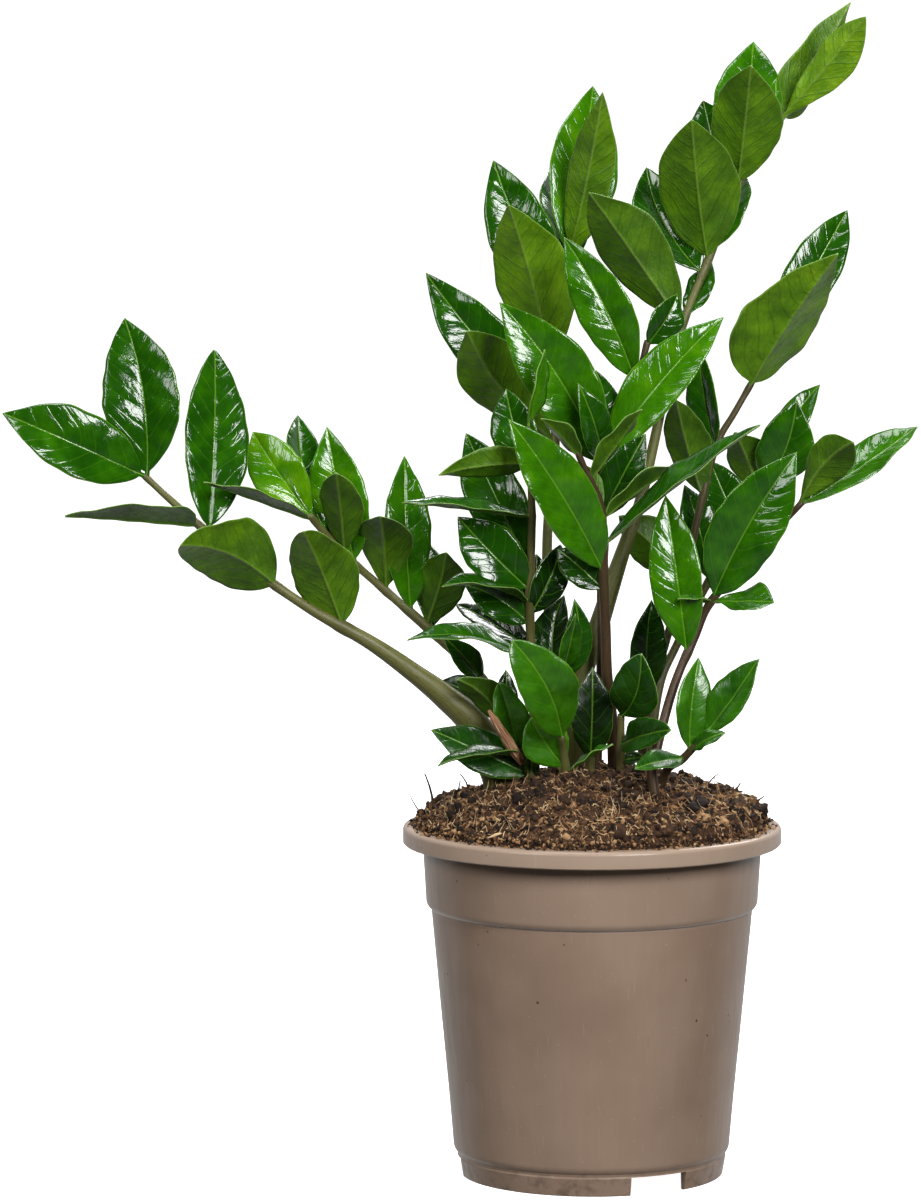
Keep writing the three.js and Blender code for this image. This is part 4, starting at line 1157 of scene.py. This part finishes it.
def pot_material():
    """Taupe plastic with a soft gloss, faint upright streaks, hair scratches, dust, specks of soil and
    darker patches at the foot; painted light pales the rim and collar, and a painted highlight lines the
    collar's foot.
    """
    paint = Paint("pot_plastic", Specular_IOR_Level=0.25, Coat_Weight=0.16, Coat_Roughness=0.1)
    place = paint.place()
    height = paint.node("SeparateXYZ", Vector=place).outputs["Z"]
    cloud = paint.between(paint.noise(place, 0.02, 3.0), 0.3, 0.7)
    streaks = paint.noise(paint.place((1, 1, 0.06)), 0.3, 3.0)
    hairs = paint.between(paint.noise(paint.place((1, 1, 0.015)), 0.7, 1.0), 0.72, 0.75)
    dust = paint.dots(place, 0.21, 0.06, 0.09)
    dirt = paint.times(paint.dots(place, 0.13, 0.06, 0.1),
                       paint.between(paint.noise(place, 0.06, 2.0), 0.54, 0.6))
    # Painted light: the rim, and more faintly the collar, are painted paler, as though lit more than the
    # body.
    rim = paint.between(height, RIM_BOTTOM - 2, RIM_BOTTOM)
    collar = paint.between(height, COLLAR_FOOT - 1, COLLAR_FOOT)
    # Painted highlight: a pale line along the rounded foot of the collar.
    painted_highlight_line = paint.times(paint.between(height, COLLAR_FOOT + 1.9, COLLAR_FOOT + 1.0),
                       paint.between(height, COLLAR_FOOT - 0.1, COLLAR_FOOT + 0.2))
    # Darker towards the foot, in patches.
    darker_foot = paint.times(paint.between(paint.noise(place, 0.16, 4.0), 0.45, 0.7),
                        paint.between(height, BODY_FOOT + 1, BODY_FOOT - 11))
    paint.color(paint.layers(
        paint.mix(cloud, linear(144, 121, 104), linear(158, 135, 117)),
        (streaks, 0.3, linear(126, 107, 91)), (hairs, 0.16, linear(186, 170, 152)),
        (dust, 0.35, linear(190, 172, 152)), (dirt, 0.8, linear(58, 42, 32)),
        (rim, 0.3, linear(196, 174, 155)), (collar, 0.15, linear(186, 164, 146)),
        (painted_highlight_line, 0.5, linear(206, 194, 186)), (darker_foot, 0.6, linear(92, 74, 61))))
    scratches = paint.between(paint.noise(paint.place((1, 1, 0.02)), 1.1, 2.0), 0.62, 0.7)
    rough = paint.between(streaks, 0.25, 0.75, 0.27, 0.38)
    paint.roughness(paint.plus(rough, paint.times(scratches, 0.12)))
    uneven = paint.noise(paint.place((1, 1, 0.5)), 0.045, 2.0)
    paint.bump(paint.plus(paint.times(uneven, 9.0), paint.times(dirt, 2.0)), 0.08)
    return paint.material


def peat_material(name, dark, brown, pale, grain_scale):
    """Damp peat or its fibres: tone goes from dark crumbs to pale threads."""
    paint = Paint(name, Specular_IOR_Level=0.3)
    place = paint.place()
    mottle = paint.times(paint.plus(paint.noise(place, grain_scale, 5.0, 0.7), -0.5), 1.1)
    shade = paint.plus(paint.attribute("tone"), mottle)
    paint.color(paint.ramp(shade, (0.1, dark), (0.55, brown), (1.0, pale)))
    paint.roughness(paint.between(mottle, -0.3, 0.3, 0.7, 0.95))
    paint.bump(paint.noise(place, 1.2, 5.0, 0.7), 0.6)
    return paint.material


def floor_material():
    """The white ground, which glows so that it stays white in the plant's own shadow."""
    paint = Paint("studio_floor", Specular_IOR_Level=0.2)
    cloud = paint.noise(paint.place(), 0.002, 2.0)
    paint.color(paint.mix(cloud, linear(244, 244, 243), linear(248, 248, 248)))
    paint.roughness(0.6)
    paint.shader.inputs["Emission Color"].default_value = (1, 1, 1, 1)
    paint.shader.inputs["Emission Strength"].default_value = FLOOR_GLOW
    return paint.material


# ---- The studio ----
FLOOR_HALF = 60              # metres, so that the floor fills the picture to its top
FLOOR_GLOW = 0.95
SKY_LIGHT = 0.012            # from all round
SKY_BANDS = [                # axis, where more light begins and where it is full, and how much it is
    ("Y", 0.2, 0.5, 0.6),        # the white wall behind, on the side that the picture looks towards
    ("Z", -0.1, -0.6, 0.2),      # the white ground
]
LIGHTS = [                   # name, place and target in mm, width and height in mm, watts
    ("left", (-1300, -1500, 1350), (-60, 0, 300), (900, 900), 19),
    ("right", (850, -1700, 1250), (60, 0, 300), (800, 900), 42),
    ("top", (-200, -300, 2300), (0, 0, 300), (900, 800), 20),
    ("back", (600, 1400, 1500), (0, 0, 300), (1200, 600), 24),
]


def floor():
    mesh = bpy.data.meshes.new("floor")
    reach = FLOOR_HALF
    mesh.from_pydata([(-reach, -reach, 0), (reach, -reach, 0), (reach, reach, 0), (-reach, reach, 0)], [],
                     [(0, 1, 2, 3)])
    mesh.materials.append(floor_material())
    plane = bpy.data.objects.new("floor", mesh)
    plane.visible_diffuse = False
    plane.visible_glossy = False
    bpy.context.scene.collection.objects.link(plane)


def softbox(name, place, target, size, watts):
    data = bpy.data.lights.new("softbox_" + name, "AREA")
    data.shape = "RECTANGLE"
    data.size, data.size_y = (side * MM for side in size)
    data.energy = watts
    lamp = bpy.data.objects.new("softbox_" + name, data)
    lamp.visible_camera = False
    lamp.location = Vector(place) * MM
    lamp.rotation_euler = (Vector(target) - Vector(place)).to_track_quat("-Z", "Y").to_euler()
    bpy.context.scene.collection.objects.link(lamp)


def studio_world():
    """Soft white light from all round, and more from the wall behind the plant and from the ground."""
    world = bpy.data.worlds.new("studio")
    world.use_nodes = True
    tree = world.node_tree
    background = tree.nodes["Background"]
    direction = tree.nodes.new("ShaderNodeTexCoord")
    split = tree.nodes.new("ShaderNodeSeparateXYZ")
    tree.links.new(direction.outputs["Generated"], split.inputs[0])
    total = tree.nodes.new("ShaderNodeMath")
    for part, (axis, low, high, light) in enumerate(SKY_BANDS):
        band = tree.nodes.new("ShaderNodeMapRange")
        band.interpolation_type = "SMOOTHSTEP"
        tree.links.new(split.outputs[axis], band.inputs["Value"])
        for socket, number in zip(list(band.inputs)[1:5], (low, high, SKY_LIGHT / 2, light)):
            socket.default_value = number
        tree.links.new(band.outputs[0], total.inputs[part])
    tree.links.new(total.outputs[0], background.inputs["Strength"])
    background.inputs["Color"].default_value = (1, 1, 1, 1)
    return world


def studio():
    scene = bpy.context.scene
    scene.world = studio_world()
    scene.view_settings.view_transform = "Standard"
    scene.view_settings.look = "None"
    for light in LIGHTS:
        softbox(*light)
    floor()


# ---- The plant ----
def seeded(number):
    return np.random.default_rng(number)


def plant():
    leaf_materials = [leaf_top_material(), leaf_under_material(), leaf_edge_material()]
    stems = stem_material()
    for number, frond in enumerate(FRONDS):
        leaflets_piece(frond, leaf_materials, seeded(100 + number))
        stem_piece(frond, stems, seeded(200 + number))
    sheath_piece(sheath_material())


def peat():
    dark = linear(28, 18, 11)
    heap = peat_material("peat", dark, linear(96, 66, 43), linear(156, 120, 82), 0.5)
    crumbs = peat_material("peat_crumbs", dark, linear(120, 86, 57), linear(194, 154, 110), 0.3)
    threads = peat_material("peat_fibres", linear(84, 56, 35), linear(182, 138, 92),
                            linear(248, 220, 174), 0.2)
    soil_piece(heap)
    crumbs_piece("soil_crumbs", crumbs, seeded(11), count=9000, small=0.25, large=1.7, shapes=SHREDDED,
                 palest=1.0)
    crumbs_piece("soil_clods", heap, seeded(14), count=300, small=1.6, large=3.6, shapes=LUMPY,
                 palest=0.5)
    crumbs_piece("soil_chips", threads, seeded(15), count=620, small=0.5, large=1.8, shapes=SPLINTERED,
                 palest=1.0)
    lip_piece(crumbs, seeded(16))
    fibres_piece(threads, seeded(12))
    twigs_piece(crumbs, seeded(13))


camera()
studio()
pot_piece(pot_material())
peat()
plant()
